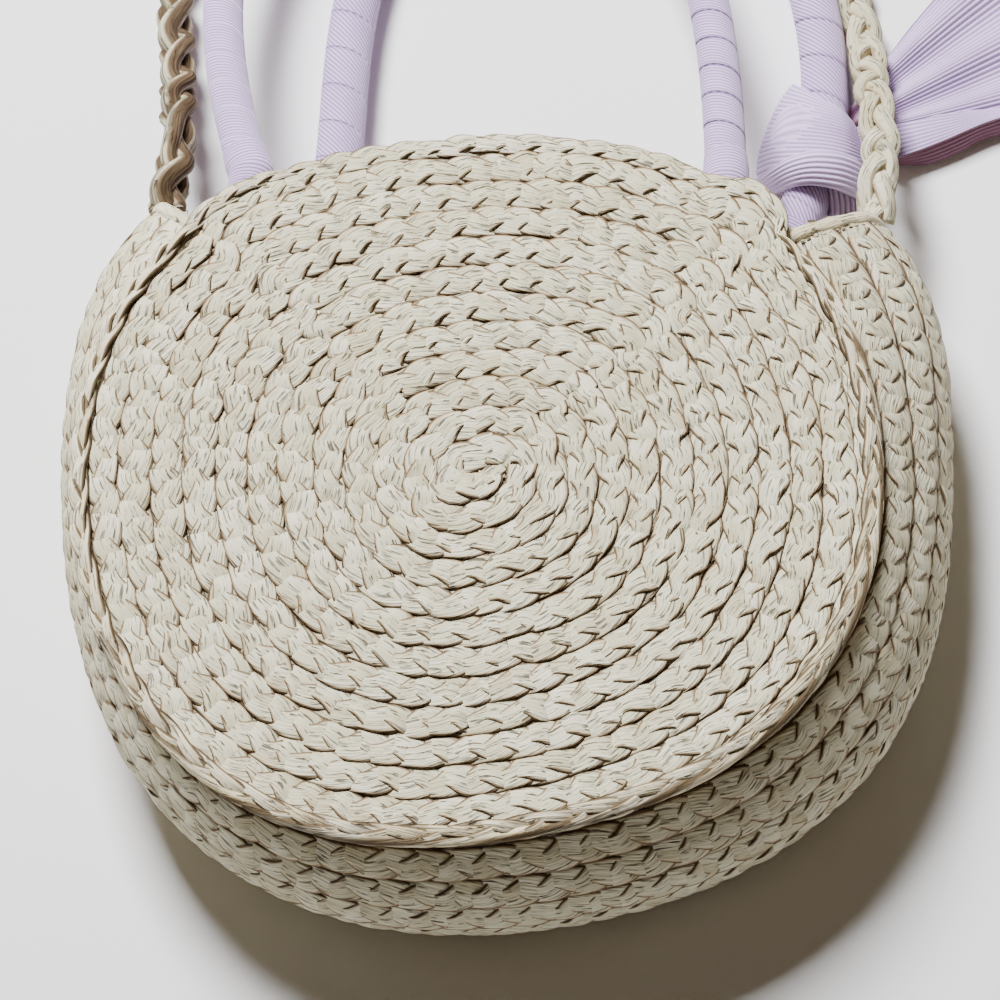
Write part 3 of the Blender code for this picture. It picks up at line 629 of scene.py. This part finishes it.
mouth_angle = np.radians(np.linspace(309, 331, 200))
mouth_inset = np.interp(np.degrees(mouth_angle), (309, 316, 323, 331), (0.0022, -0.0002, -0.0004, 0.0020))
mouth_line = evenly(around(mouth_angle, mouth_inset, 0.0687), 0.0010)
mouth_across = unit(np.cross(np.gradient(mouth_line, axis=0), (0, 0, 1)))
mouth_size = np.interp(np.linspace(0, 1, len(mouth_line)), (0, 0.2, 0.7, 1), (0.5, 1, 0.9, 0.15))
mouth_strands = plait(mouth_line, mouth_across, np.array((0, 0, 1)), pitch=0.036, reach=0.0012, lift=0.0007,
                      width=0.0046, thickness=0.0012, roll=0.3, size=mouth_size, seed=61, flat_top=0.6, least_dust_and_shade=0.55)
dressed("mouth_edging_left", mouth_strands, straw_edge, "straw_edge")

# Strap anchors
# The strap's ends are pressed flat and sewn to the inside of the gusset's hems, as pads of plait 10 mm wide.


def anchor(name, angle):
    """A flat stub of plait, 24 mm long, along the gusset's inner face at mid-depth."""
    side = math.copysign(1, math.pi - angle)
    turns = angle + side * np.linspace(0, 0.024, 40) / (panel_radius + float(gusset_bulge(angle)))
    face = gusset_face(turns, 0.5)
    across = np.array((0, 0, 1))
    inward = -outwards(unit(np.cross(across, unit(np.gradient(face, axis=0)))), face)
    strands = plait(face + inward * 0.0087, across, inward, pitch=0.018, reach=0.0024, lift=0.0006, width=0.0052,
                    thickness=0.0013, roll=0.2, seed=31)
    dressed(name + "_plait", strands, straw, "cotton_rope", name)


anchor("strap_anchor_right", shoulder_angle)
anchor("strap_anchor_left", math.tau - shoulder_angle)

# Handles
# A twisted cotton rope, wound from end to end with a strip of fine lilac ottoman rib. Its feet are sewn bulbs
# that hang from cloth tabs on the inside of each panel.
handle_half_span = 0.0735
handle_rise = 0.175


def handle_line(pivot, lean, rate, come_back, drop):
    """A squared arch, the sine and cosine of a half turn to the power 2/3, that leans and sinks to its top."""
    turn = np.linspace(0, math.pi, 2400)
    up = np.sin(turn) ** (2 / 3)
    wide = np.abs(np.cos(turn)) ** (2 / 3) * (1 + 0.36 * up * (1 - up))
    sway = lean * (1 - (1 - up) ** rate) * (1 - come_back * up)
    x = -handle_half_span * np.sign(np.cos(turn)) * wide + sway
    return evenly(stacked(x, handle_rise * up, -drop * up) + pivot, 0.0008)


def frame_of(line):
    """Two unit directions square to a line that never stands upright: level and upwards."""
    ahead = unit(np.gradient(line, axis=0))
    level = unit(np.cross(ahead, (0, 0, 1)))
    return level, unit(np.cross(level, ahead))


def wound(line, radius, pitch, lap, thickness, seed, sewn):
    """A closed strip of cloth wound round a rope with round ends, its seam sewn as far as the two shares say.

    At a turn t and a distance w across the strip, a point lies pitch * t + w along the rope, at the angle t. Its
    distance from the rope's line grows by part of the cloth's thickness across it, so each turn laps the next.
    """
    rng = np.random.default_rng(seed)
    start = line[0] - unit(line[1] - line[0]) * radius * 0.97
    stop = line[-1] + unit(line[-1] - line[-2]) * radius * 0.97
    line = evenly(np.vstack((start, line, stop)), 0.0006)
    along = distances(line)
    turn = np.arange(-36, round(36 * (along[-1] / pitch)) + 1)[:, None] / 36
    width = pitch + lap
    w = np.linspace(-0.5, 0.5, 9) * width
    w = np.concatenate((w, w[::-1]))
    outer = np.repeat((1, 0), 9)
    place = np.clip(pitch * turn + w + 0.0004 * wobble(pitch * turn[:, 0], rng)[:, None], 0, along[-1])
    centre, side, high = (sampled(place, along, rail) for rail in (line, *frame_of(line)))
    near_end = np.clip(np.minimum(place, along[-1] - place) / radius, 0, 1)
    girth = radius * np.sqrt(np.clip(1 - (1 - near_end) ** 2, 0.0004, 1))
    away = np.maximum(girth - thickness * (1 - outer) - 0.1 * thickness * (0.5 - w / width), 0.00005)
    angle = math.tau * turn
    points = centre + (high * np.cos(angle)[..., None] - side * np.sin(angle)[..., None]) * away[..., None]
    # The lapping edge of each turn is marked as rim, for a darker line: partly the cloth's edge, partly painted
    # shade
    rim = np.clip((w / width - 0.44) / 0.06, 0, 1) * outer
    under = np.interp(place / along[-1], (0.0, 0.3, 0.7, 1.0), (sewn[0], sewn[0], sewn[1], sewn[1])) * outer
    return points, stacked(angle * radius, w), rim, under


cotton_looks = {"Roughness": 0.85, "IOR": 1.45, "Specular IOR Level": 0.2, "Sheen Weight": 0.25,
                "Sheen Roughness": 0.5}
weft_threads = (2800, 900, 1)    # weft threads 0.35 mm apart


def ottoman(name, pale, shade, deep, rib_pitch, slant, depth, seam):
    """Ottoman rib: a matt cotton cloth with fine round cords, darker between them.

    A line of dark stitches, 1.4 mm long, runs at the distance seam from the strip's middle, where it is sewn.
    """
    finish, tree = blank(name)
    weave, rim, sewn = marks(tree)
    place = add(tree, "SeparateXYZ", {0: weave})
    from_seam = add(tree, "Math", {0: place.outputs["Y"], 1: seam}, operation="SUBTRACT")
    off_seam = add(tree, "Math", {0: from_seam}, operation="ABSOLUTE")
    thread = add(tree, "MapRange", {"Value": off_seam, "From Min": 0.00012, "From Max": 0.00036, "To Min": 1.0,
                                    "To Max": 0.0})
    paces = add(tree, "Math", {0: place.outputs["X"], 1: math.tau / 0.0026}, operation="MULTIPLY")
    pace = add(tree, "Math", {0: paces}, operation="SINE")
    stitch = add(tree, "MapRange", {"Value": pace, "From Min": -0.4, "From Max": 0.1, "To Min": 0.25})
    stitched = add(tree, "Math", {0: thread, 1: stitch}, operation="MULTIPLY")
    stitch_share = add(tree, "Math", {0: stitched, 1: sewn}, operation="MULTIPLY")
    turned = add(tree, "Mapping", {"Vector": weave, "Rotation": (0, 0, slant)})
    across = add(tree, "SeparateXYZ", {0: turned})
    drift = grain(tree, weave, (60, 60, 1), 1.0)
    count = add(tree, "Math", {0: across.outputs["Y"], 1: math.tau / rib_pitch}, operation="MULTIPLY")
    uneven = add(tree, "Math", {0: drift, 1: 3.0, 2: count}, operation="MULTIPLY_ADD")
    cord = add(tree, "Math", {0: uneven}, operation="SINE")
    height = add(tree, "MapRange", {"Value": cord, "From Min": -1.0, "From Max": 0.6})
    weft = grain(tree, turned, weft_threads, 2.0)
    fade = add(tree, "MapRange", {"Value": drift, "From Min": 0.35, "From Max": 0.65})
    body = add(tree, "MixRGB", {"Fac": fade, "Color1": pale, "Color2": shade})
    # The cords are painted darker between them in the deep colour, as shade
    ribbed = add(tree, "MixRGB", {"Fac": height, "Color1": deep, "Color2": body})
    # Where the strip is sewn its lapping edge is darker: partly the cloth's edge, partly painted shade under the
    # lap
    rim_share = add(tree, "Math", {0: rim, 1: sewn}, operation="MULTIPLY")
    edged = add(tree, "MixRGB", {"Fac": rim_share, "Color1": ribbed, "Color2": deep})
    seamed = add(tree, "MixRGB", {"Fac": stitch_share, "Color1": edged, "Color2": "#5E5068"})
    pulled = add(tree, "Math", {0: stitch_share, 1: -1.0, 2: height}, operation="MULTIPLY_ADD")
    relief = add(tree, "Math", {0: weft, 1: 0.25, 2: pulled}, operation="MULTIPLY_ADD")
    close_material(tree, seamed, relief, depth, 0.0005, cotton_looks)
    return finish


cotton_rope = raffia("cotton_rope_natural", "#E9E4D8", "#DDD5C3", "#D6CCB6", "#8B7F68")
# The third colour is the painted shade between the cords and under the laps
lilac = ("#D9C2EA", "#CCB4DF", "#9880B0")
rib_level = ottoman("ottoman_rib_lilac_wound_level", *lilac, rib_pitch=0.0012, slant=-0.05, depth=0.40,
                    seam=0.0064)
rib_slanted = ottoman("ottoman_rib_lilac_wound_slanted", *lilac, rib_pitch=0.0014, slant=-0.60, depth=0.45,
                      seam=0.0075)


def rope_core(name, line, radius, body):
    """Three strands of cotton twisted about the handle's line, inside its cloth."""
    line = evenly(line, 0.002)
    strands = twist(line, *frame_of(line), pitch=0.024, reach=radius * 0.5, width=radius * 0.95,
                    thickness=radius * 0.95, count=3)
    dressed(name + "_rope", strands, cotton_rope, "cotton_rope", name, body=body)


def wrap(name, line, radius, pitch, finish, body, seed, sewn):
    """The wound cloth of one handle."""
    strip = wound(line, radius, pitch, lap=0.0016, thickness=0.0006, seed=seed, sewn=sewn)
    dressed(name + "_cloth", [strip], finish, "lilac_cloth", name, body=body)


front_radius = 0.0065
back_radius = 0.0077
front_handle_line = handle_line((-0.017, 0.10635, 0.0587), lean=-0.0158, rate=2, come_back=0, drop=0.0335)
back_handle_line = handle_line((0.001, 0.10755, 0.0125), lean=0.0125, rate=6, come_back=0.5, drop=0.0043)
rope_core("front_handle_core", front_handle_line, 0.0040, "front_handle")
rope_core("back_handle_core", back_handle_line, 0.0051, "back_handle")
wrap("front_handle_wrap", front_handle_line, front_radius, pitch=0.0118, finish=rib_level, body="front_handle",
     seed=41, sewn=(0.0, 1.0))
wrap("back_handle_wrap", back_handle_line, back_radius, pitch=0.0141, finish=rib_slanted, body="back_handle",
     seed=42, sewn=(0.9, 0.0))


def tab(name, line, radius, low):
    """The cloth that holds a leg: flat on the panel's inner face, then round the bulb as a sock.

    An ellipse is carried along a path from the panel to 9 mm up the leg, and grows from flat to its round.
    """
    pivot = line[0]
    upper = line[np.searchsorted(distances(line), (0.0045, 0.0090))]
    path = np.array(((pivot[0], pivot[1] - 0.0262, low), (pivot[0], pivot[1] - 0.0180, low),
                     (pivot[0], pivot[1] - 0.0125, low + (pivot[2] - low) * 0.10),
                     (pivot[0], pivot[1] - 0.0066, low + (pivot[2] - low) * 0.72), pivot, *upper))
    halves = np.array(((0.0066, 0.0012), (0.0068, 0.0013), (0.0069, 0.0019), (radius + 0.0001, 0.0054),
                       (radius + 0.0006, radius + 0.0005), (radius + 0.0006, radius + 0.0005),
                       (radius + 0.0003, radius + 0.0003)))
    fine = smooth_line(path)
    course = evenly(fine, 0.0006)
    spots = np.interp(np.linspace(0, 1, len(course)), distances(fine) / distances(fine)[-1],
                      np.arange(len(fine)) / 16)
    half = sampled(spots, np.arange(len(halves)), halves)
    level, up = frame_of(course)
    turn = math.tau * np.arange(40) / 40
    points = swept(course, level, half[:, :1] * np.cos(turn), up, half[:, 1:] * np.sin(turn))
    piece = sleeves(name + "_cloth", [(points, stacked(turn * radius, distances(course)[:, None] + 0.5), 0, 0)])
    piece.data.materials.append(rib_level)
    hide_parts(name)
    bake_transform(piece)


for side, label in ((1, "left"), (-1, "right")):
    tab("front_handle_tab_" + label, front_handle_line[::side], front_radius, 0.0637)
    tab("back_handle_tab_" + label, back_handle_line[::side], back_radius, 0.0063)

# Magnetic snap
# A pressed stud on the back panel and a magnet socket on the front one, each held by two prongs and a washer.
# The solids' own meshes show, with a nickel or a ferrite finish.


def bare_metal(name, base, metal, rough, size, fleck, depth):
    """A bare hard finish: one base colour, and flecks of one size that change its roughness, colour and relief."""
    finish, tree = blank(name)
    spot = add(tree, "TexCoord")
    grains = add(tree, "TexNoise", {"Vector": spot.outputs["Object"], "Scale": 1 / size, "Detail": 3.0})
    dull = add(tree, "MapRange", {"Value": grains, "From Min": 0.3, "From Max": 0.7, "To Min": rough - 0.08,
                                  "To Max": rough + 0.10})
    flecked = add(tree, "MixRGB", {"Fac": grains, "Color1": base, "Color2": fleck})
    close_material(tree, flecked, grains, depth, 0.0002, {"Metallic": metal, "Roughness": dull})
    return finish


nickel = bare_metal("nickel_plated_pressed_steel", "#BDB7AB", metal=1.0, rough=0.27, size=0.0012,
                    fleck="#CFCAC0", depth=0.08)
magnet = bare_metal("ferrite_sintered", "#1E1D20", metal=0.0, rough=0.55, size=0.0004, fleck="#333136", depth=0.35)
for node in ("snap_stud", "snap_socket", "snap_washer_front", "snap_washer_back", "snap_magnet"):
    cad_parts[node].data.materials.clear()
    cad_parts[node].data.materials.append(magnet if node == "snap_magnet" else nickel)

# Lining
# Unbleached cotton calico, sewn in below the mouth in three pieces: a round for each panel, a band for the gusset.


def calico(name, pale, shade):
    """Plain weave with slubs: its threads are two crossed waves, each 0.45 mm long."""
    finish, tree = blank(name)
    weave = add(tree, "UVMap", uv_map="strand")
    across = add(tree, "SeparateXYZ", {0: weave})
    threads = []
    for axis in ("X", "Y"):
        count = add(tree, "Math", {0: across.outputs[axis], 1: math.tau / 0.00045}, operation="MULTIPLY")
        threads.append(add(tree, "Math", {0: count}, operation="SINE"))
    woven = add(tree, "Math", {0: threads[0], 1: threads[1]}, operation="MULTIPLY")
    slub = grain(tree, weave, (90, 1200, 1), 3.0)
    body = add(tree, "MixRGB", {"Fac": slub, "Color1": pale, "Color2": shade})
    relief = add(tree, "Math", {0: slub, 1: 1.5, 2: woven}, operation="MULTIPLY_ADD")
    looks = {**cotton_looks, "Roughness": 0.9, "Sheen Weight": 0.15, "Sheen Roughness": 0.6}
    close_material(tree, body, relief, 0.35, 0.0002, looks)
    return finish


lining_cotton = calico("cotton_calico_unbleached", "#E6DFCF", "#D6CCB6")
lining_top = 0.073
lining_inset = 0.0065


def sewn_in(name, points, uv):
    """One lining piece: a closed thin shell of cotton, in place of its node."""
    piece = dressed(name + "_cotton", [(points, uv, 0, 0)], lining_cotton, "cotton_lining", name)
    areas = np.empty(len(piece.data.polygons))
    piece.data.polygons.foreach_get("area", areas)


def lining_round(name, height):
    """A round cut straight across below the mouth, with creases 0.25 mm high that run down from its top edge.

    At an angle the reach is the outline's less an inset, or what reaches the straight top, if that is shorter.
    """
    angle = np.linspace(0, math.tau, 144, endpoint=False)
    to_top = np.where(np.cos(angle) > 0, lining_top / np.maximum(np.cos(angle), 1e-6), 1)
    reach = np.minimum(outline_radius(angle) - lining_inset, to_top)
    share = np.concatenate((np.linspace(0.01, 1, 24), np.linspace(1, 0.01, 24)))[:, None]
    x, y = share * reach * np.sin(angle), share * reach * np.cos(angle)
    crease = 0.00025 * np.sin(x * 95 + 2 * np.sin(y * 30)) * np.exp(-((y - lining_top) / 0.05) ** 2)
    side = np.repeat((0.0004, -0.0004), 24)[:, None]
    sewn_in(name, stacked(x + racked(height), y, height + crease + side), stacked(x, y))


lining_round("lining_back", 0.0062)
lining_round("lining_front", 0.0638)

band_start = shoulder_angle + math.radians(15)
band_angle = np.linspace(band_start, math.tau - band_start, 240)[:, None]
band_share = np.linspace(0.13, 0.87, 15)[None, :]
band_face = gusset_face(band_angle, band_share)
band_inward = gusset_inward(band_face)
band_crease = 0.0002 * np.sin(band_angle * 60 + 3 * band_share)[..., None]
band_outer = band_face + band_inward * (0.0053 + band_crease)
band_inner = band_face + band_inward * (0.0061 + band_crease)
band_along = distances(band_outer[:, 7])[:, None] - 0.3
band_wide = np.concatenate((distances(band_outer[120]), distances(band_outer[120])[::-1]))
band_points = np.concatenate((band_outer, band_inner[:, ::-1]), axis=1)
sewn_in("lining_gusset", band_points, stacked(band_wide, band_along))

# Scarf knot
# The scarf is tied round the right leg of the back handle: one fold comes down the leg and flares to the left,
# and a second crosses below it from the lower left.
samples_a_rib = 5


def ribbon(rail_a, rail_b, crown, thickness, rib_count, rib_depth, steps=60):
    """A closed fold of ribbed cloth between two rails.

    Across the fold a point moves evenly from one rail to the other, raised by crown times the square root of a
    half sine, and by a cosine of as many turns as there are ribs. The underside lies a cloth's thickness lower.
    """
    rails = []
    for rail in (rail_a, rail_b):
        fine = smooth_line(np.array(rail))
        along = distances(fine)
        rails.append(sampled(np.linspace(0, along[-1], steps), along, fine))
    share = np.linspace(0, 1, rib_count * samples_a_rib + 1)
    face = rails[0][:, None] * (1 - share)[:, None] + rails[1][:, None] * share[:, None]
    normal = unit(np.cross(np.gradient(face, axis=0), (rails[1] - rails[0])[:, None] + 1e-6))
    normal = normal * np.where(normal[..., 2:].mean() < 0, -1, 1)
    rise = crown * np.sqrt(np.clip(np.sin(math.pi * share), 0, 1))
    ribs = rib_depth * np.cos(math.tau * share * rib_count)
    top = face + normal * (rise + ribs)[:, None]
    low = face + normal * (rise - thickness)[:, None]
    points = np.concatenate((top, low[:, ::-1]), axis=1)
    wide = np.linalg.norm(rails[1] - rails[0], axis=1)[:, None] * np.concatenate((share, share[::-1]))
    # The grooves between the ribs are painted darker as shade; the underside is marked for the maroon painted
    # shade
    groove = np.concatenate((0.5 - 0.5 * np.cos(math.tau * share * rib_count), np.zeros_like(share)))
    return points, stacked(distances(face.mean(axis=1))[:, None], wide), groove, np.repeat((0, 1), share.size)


def pleated(name, pale, shade, deep, painted_shade_maroon):
    """The same ottoman rib where the folds are big enough for its cords to be modelled: grooves are darker.

    Where a fold turns the cloth's wrong side up, it is painted a dull maroon, as the shade under the fold.
    """
    finish, tree = blank(name)
    weave, groove, turned = marks(tree)
    cloud = grain(tree, weave, (40, 60, 1), 2.0)
    fade = add(tree, "MapRange", {"Value": cloud, "From Min": 0.35, "From Max": 0.65})
    body = add(tree, "MixRGB", {"Fac": fade, "Color1": pale, "Color2": shade})
    # The grooves between the cords are painted darker, as shade
    groove_share = add(tree, "MapRange", {"Value": groove, "From Min": 0.40, "From Max": 1.0, "To Max": 0.8})
    corded = add(tree, "MixRGB", {"Fac": groove_share, "Color1": body, "Color2": deep})
    ribbed = add(tree, "MixRGB", {"Fac": turned, "Color1": corded, "Color2": painted_shade_maroon})
    weft = grain(tree, weave, weft_threads, 2.0)
    close_material(tree, ribbed, weft, 0.3, 0.0003, cotton_looks)
    return finish


# The third colour is the painted shade in the grooves, the last the maroon painted shade where the wrong side
# turns up
rib_folded = pleated("ottoman_rib_lilac_folded", "#DAC6EB", "#CDB7DF", "#8A6C9C", "#855C70")


def knot_body(centre, size, ribs):
    """The turns inside the knot: an egg of cloth, ribbed round its middle, as rings from left to right."""
    across = np.linspace(-0.999, 0.999, 60)[:, None]
    turn = np.linspace(0, math.tau, 72, endpoint=False)
    girth = np.sqrt(1 - np.abs(across) ** 2.6) * (1 + 0.035 * np.cos(turn * ribs))
    x = centre[0] + size[0] * across
    y = centre[1] + size[1] * girth * np.cos(turn)
    z = centre[2] + size[2] * girth * np.sin(turn)
    # Its grooves between the ribs are painted darker as shade
    return stacked(x, y, z), stacked(x, y), 0.5 - 0.5 * np.cos(turn * ribs), 0


first_fold = ribbon(
    ((0.0789, 0.1691, 0.0140), (0.0827, 0.1634, 0.0195), (0.0878, 0.1583, 0.0222), (0.0924, 0.1558, 0.0215),
     (0.0955, 0.1540, 0.0180)),
    ((0.0674, 0.1383, 0.0060), (0.0717, 0.1345, 0.0165), (0.0786, 0.1315, 0.0235), (0.0875, 0.1305, 0.0260),
     (0.0941, 0.1303, 0.0245), (0.0999, 0.1325, 0.0185)),
    crown=0.0034, thickness=0.0016, rib_count=20, rib_depth=0.00030)
second_fold = ribbon(
    ((0.0673, 0.1378, 0.0065), (0.0711, 0.1356, 0.0170), (0.0773, 0.1350, 0.0258), (0.0842, 0.1351, 0.0298),
     (0.0913, 0.1349, 0.0300), (0.0967, 0.1352, 0.0262), (0.1002, 0.1363, 0.0195)),
    ((0.0714, 0.1328, 0.0055), (0.0748, 0.1293, 0.0130), (0.0794, 0.1270, 0.0205), (0.0845, 0.1257, 0.0238),
     (0.0916, 0.1243, 0.0240), (0.0963, 0.1241, 0.0212), (0.1003, 0.1253, 0.0160)),
    crown=0.0018, thickness=0.0020, rib_count=7, rib_depth=0.00026)
second_fold = (*second_fold[:2], second_fold[2] * 0.65, second_fold[3])    # its cords are pulled flat, so its grooves get less painted shade
knot_egg = knot_body(centre=(0.0848, 0.1460, 0.0138), size=(0.0138, 0.0150, 0.0125), ribs=24)
dressed("scarf_knot_folds", [knot_egg, first_fold, second_fold], rib_folded, "lilac_cloth", "scarf_knot",
        body="back_handle")

# Scarf turn and tails
# Below the knot a turn of the same cloth tucks in beside the leg.
# To its right the scarf's two gathered ends fan out on the table.
tuck_fold = ribbon(
    ((0.0899, 0.1289, 0.0185), (0.0907, 0.1250, 0.0160), (0.0912, 0.1200, 0.0130)),
    ((0.1002, 0.1278, 0.0155), (0.1007, 0.1250, 0.0130), (0.1008, 0.1190, 0.0100)),
    crown=0.0016, thickness=0.0060, rib_count=6, rib_depth=0.00035, steps=24)
dressed("scarf_tuck_turn", [tuck_fold], rib_folded, "lilac_cloth", "scarf_tuck", body="back_handle")


def tail(place, heading, length, neck, width, folds, rise, fold_height, ribs):
    """One gathered end of the scarf, as the CAD sheet lies, with its cords modelled.

    The half width grows from the neck to the full width as one minus the square of what is left, and the height
    is a cosine of as many half turns as there are folds, fading at the neck into a raised arch.
    """
    along = np.linspace(0, 1, 90)[:, None]
    side = np.linspace(-1, 1, ribs * samples_a_rib + 1)[None, :]
    half = neck + (width / 2 - neck) * (1 - (1 - along) ** 2)
    forward = length * along - neck * np.sqrt(np.clip(1 - side * side, 0, 1)) * (1 - along) ** 3
    swell = np.sin(math.pi * np.minimum(1, along * 1.5 + 0.1)) ** 0.5
    height = rise * (1 - along) ** 3 + fold_height * (0.5 + 0.5 * np.cos(folds * math.pi * side)) * swell
    cords = np.cos(math.pi * side * ribs)
    depth = np.minimum(0.0006, half / ribs * 0.4)
    x = place[0] + math.cos(heading) * forward - math.sin(heading) * half * side
    y = place[1] + math.sin(heading) * forward + math.cos(heading) * half * side
    low = stacked(x, y, place[2] + height)
    top = stacked(x, y, place[2] + height + 0.0008 + depth * cords)
    points = np.concatenate((top, low[:, ::-1]), axis=1)
    wide = np.concatenate((half * side, (half * side)[:, ::-1]), axis=1)
    # The grooves between the cords are painted darker as shade; the underside, and the top near the neck, take the
    # maroon painted shade
    groove = np.concatenate((0.5 - 0.5 * cords, np.full(cords.shape, 0.4)), axis=1)
    neck_and_underside_maroon = np.where(np.arange(wide.shape[1]) < side.size, np.clip(1 - along * 14, 0, 1), 1)
    return points, stacked(length * along, wide), groove, neck_and_underside_maroon


def turned_over_painted_maroon(points, uv, groove, turned):
    """The same fold with its wrong side on top."""
    # Its top takes the maroon of the wrong side, painted as the shade under the fold, with half the painted shade
    # in its grooves
    return points, uv, groove * 0.5, 1 - turned


upper_end = tail((0.10361, 0.16223, 0.0005), math.radians(34.6), length=0.135, neck=0.0065, width=0.085, folds=3,
                 rise=0.0050, fold_height=0.0036, ribs=36)
# The lower end is folded lengthwise: its face runs up to a crease, and below that the wrong side shows, painted
# dull maroon as shade
crease = ((0.1000, 0.1450, 0.0070), (0.1121, 0.1455, 0.0083), (0.1263, 0.1514, 0.0085), (0.1459, 0.1609, 0.0085),
          (0.1700, 0.1668, 0.0070), (0.1950, 0.1722, 0.0055), (0.2200, 0.1775, 0.0040))
lower_face = ribbon(
    ((0.0995, 0.1590, 0.0062), (0.1111, 0.1610, 0.0072), (0.1267, 0.1637, 0.0065), (0.1462, 0.1659, 0.0060),
     (0.1700, 0.1725, 0.0048), (0.1950, 0.1790, 0.0036), (0.2200, 0.1850, 0.0030)),
    crease, crown=0.0004, thickness=0.0008, rib_count=9, rib_depth=0.00030, steps=90)
lower_back = turned_over_painted_maroon(*ribbon(
    crease,
    ((0.1000, 0.1480, 0.0012), (0.1121, 0.1470, 0.0012), (0.1230, 0.1472, 0.0012), (0.1334, 0.1520, 0.0012),
     (0.1465, 0.1586, 0.0012), (0.1950, 0.1700, 0.0012), (0.2200, 0.1750, 0.0012)),
    crown=0.0004, thickness=0.0008, rib_count=5, rib_depth=0.00020, steps=90))
for end, parts, flat in (("upper", [upper_end], (0.135, 0.085)),
                         ("lower", [lower_face, lower_back], (0.120, 0.024))):
    cloth = dressed(f"scarf_tail_{end}_cloth", parts, rib_folded, "lilac_cloth", "scarf_tail_" + end,
                    body=end + "_tail")

# Floor and light
# A plain pale table top, a soft light high on the mouth's side, as the photograph's shadows fall, and fill.
white = bpy.data.materials.new("table_top_matt_white")
white.use_nodes = True
white.node_tree.nodes["Principled BSDF"].inputs["Base Color"].default_value = linear("#FAF9F7")
white.node_tree.nodes["Principled BSDF"].inputs["Roughness"].default_value = 0.9
floor_mesh = bpy.data.meshes.new("table_top")
floor_corners = [(x, y, -0.0002) for x, y in ((-3, -3), (3, -3), (3, 3), (-3, 3))]
floor_mesh.from_pydata(floor_corners, [], [(0, 1, 2, 3)])
floor_mesh.materials.append(white)
floor = bpy.data.objects.new("table_top", floor_mesh)
bpy.context.scene.collection.objects.link(floor)


def soft_light(name, place, aim, size, power, colour):
    """A square area light that faces a point."""
    lamp = bpy.data.lights.new(name, "AREA")
    lamp.size = size
    lamp.energy = power
    lamp.color = linear(colour)[:3]
    light = bpy.data.objects.new(name, lamp)
    light.location = place
    light.rotation_euler = (Vector(place) - Vector(aim)).to_track_quat("Z", "Y").to_euler()
    bpy.context.scene.collection.objects.link(light)


soft_light("window", (-0.48, 0.94, 1.44), (0, 0.05, 0.03), size=0.55, power=94, colour="#FBFBFF")
soft_light("room", (0.5, -0.7, 1.9), (0, 0, 0.03), size=1.4, power=0.8, colour="#FFEBD2")
world = bpy.data.worlds.new("studio")
world.use_nodes = True
world.node_tree.nodes["Background"].inputs["Color"].default_value = linear("#F0D6B4")
world.node_tree.nodes["Background"].inputs["Strength"].default_value = 0.08
bpy.context.scene.world = world
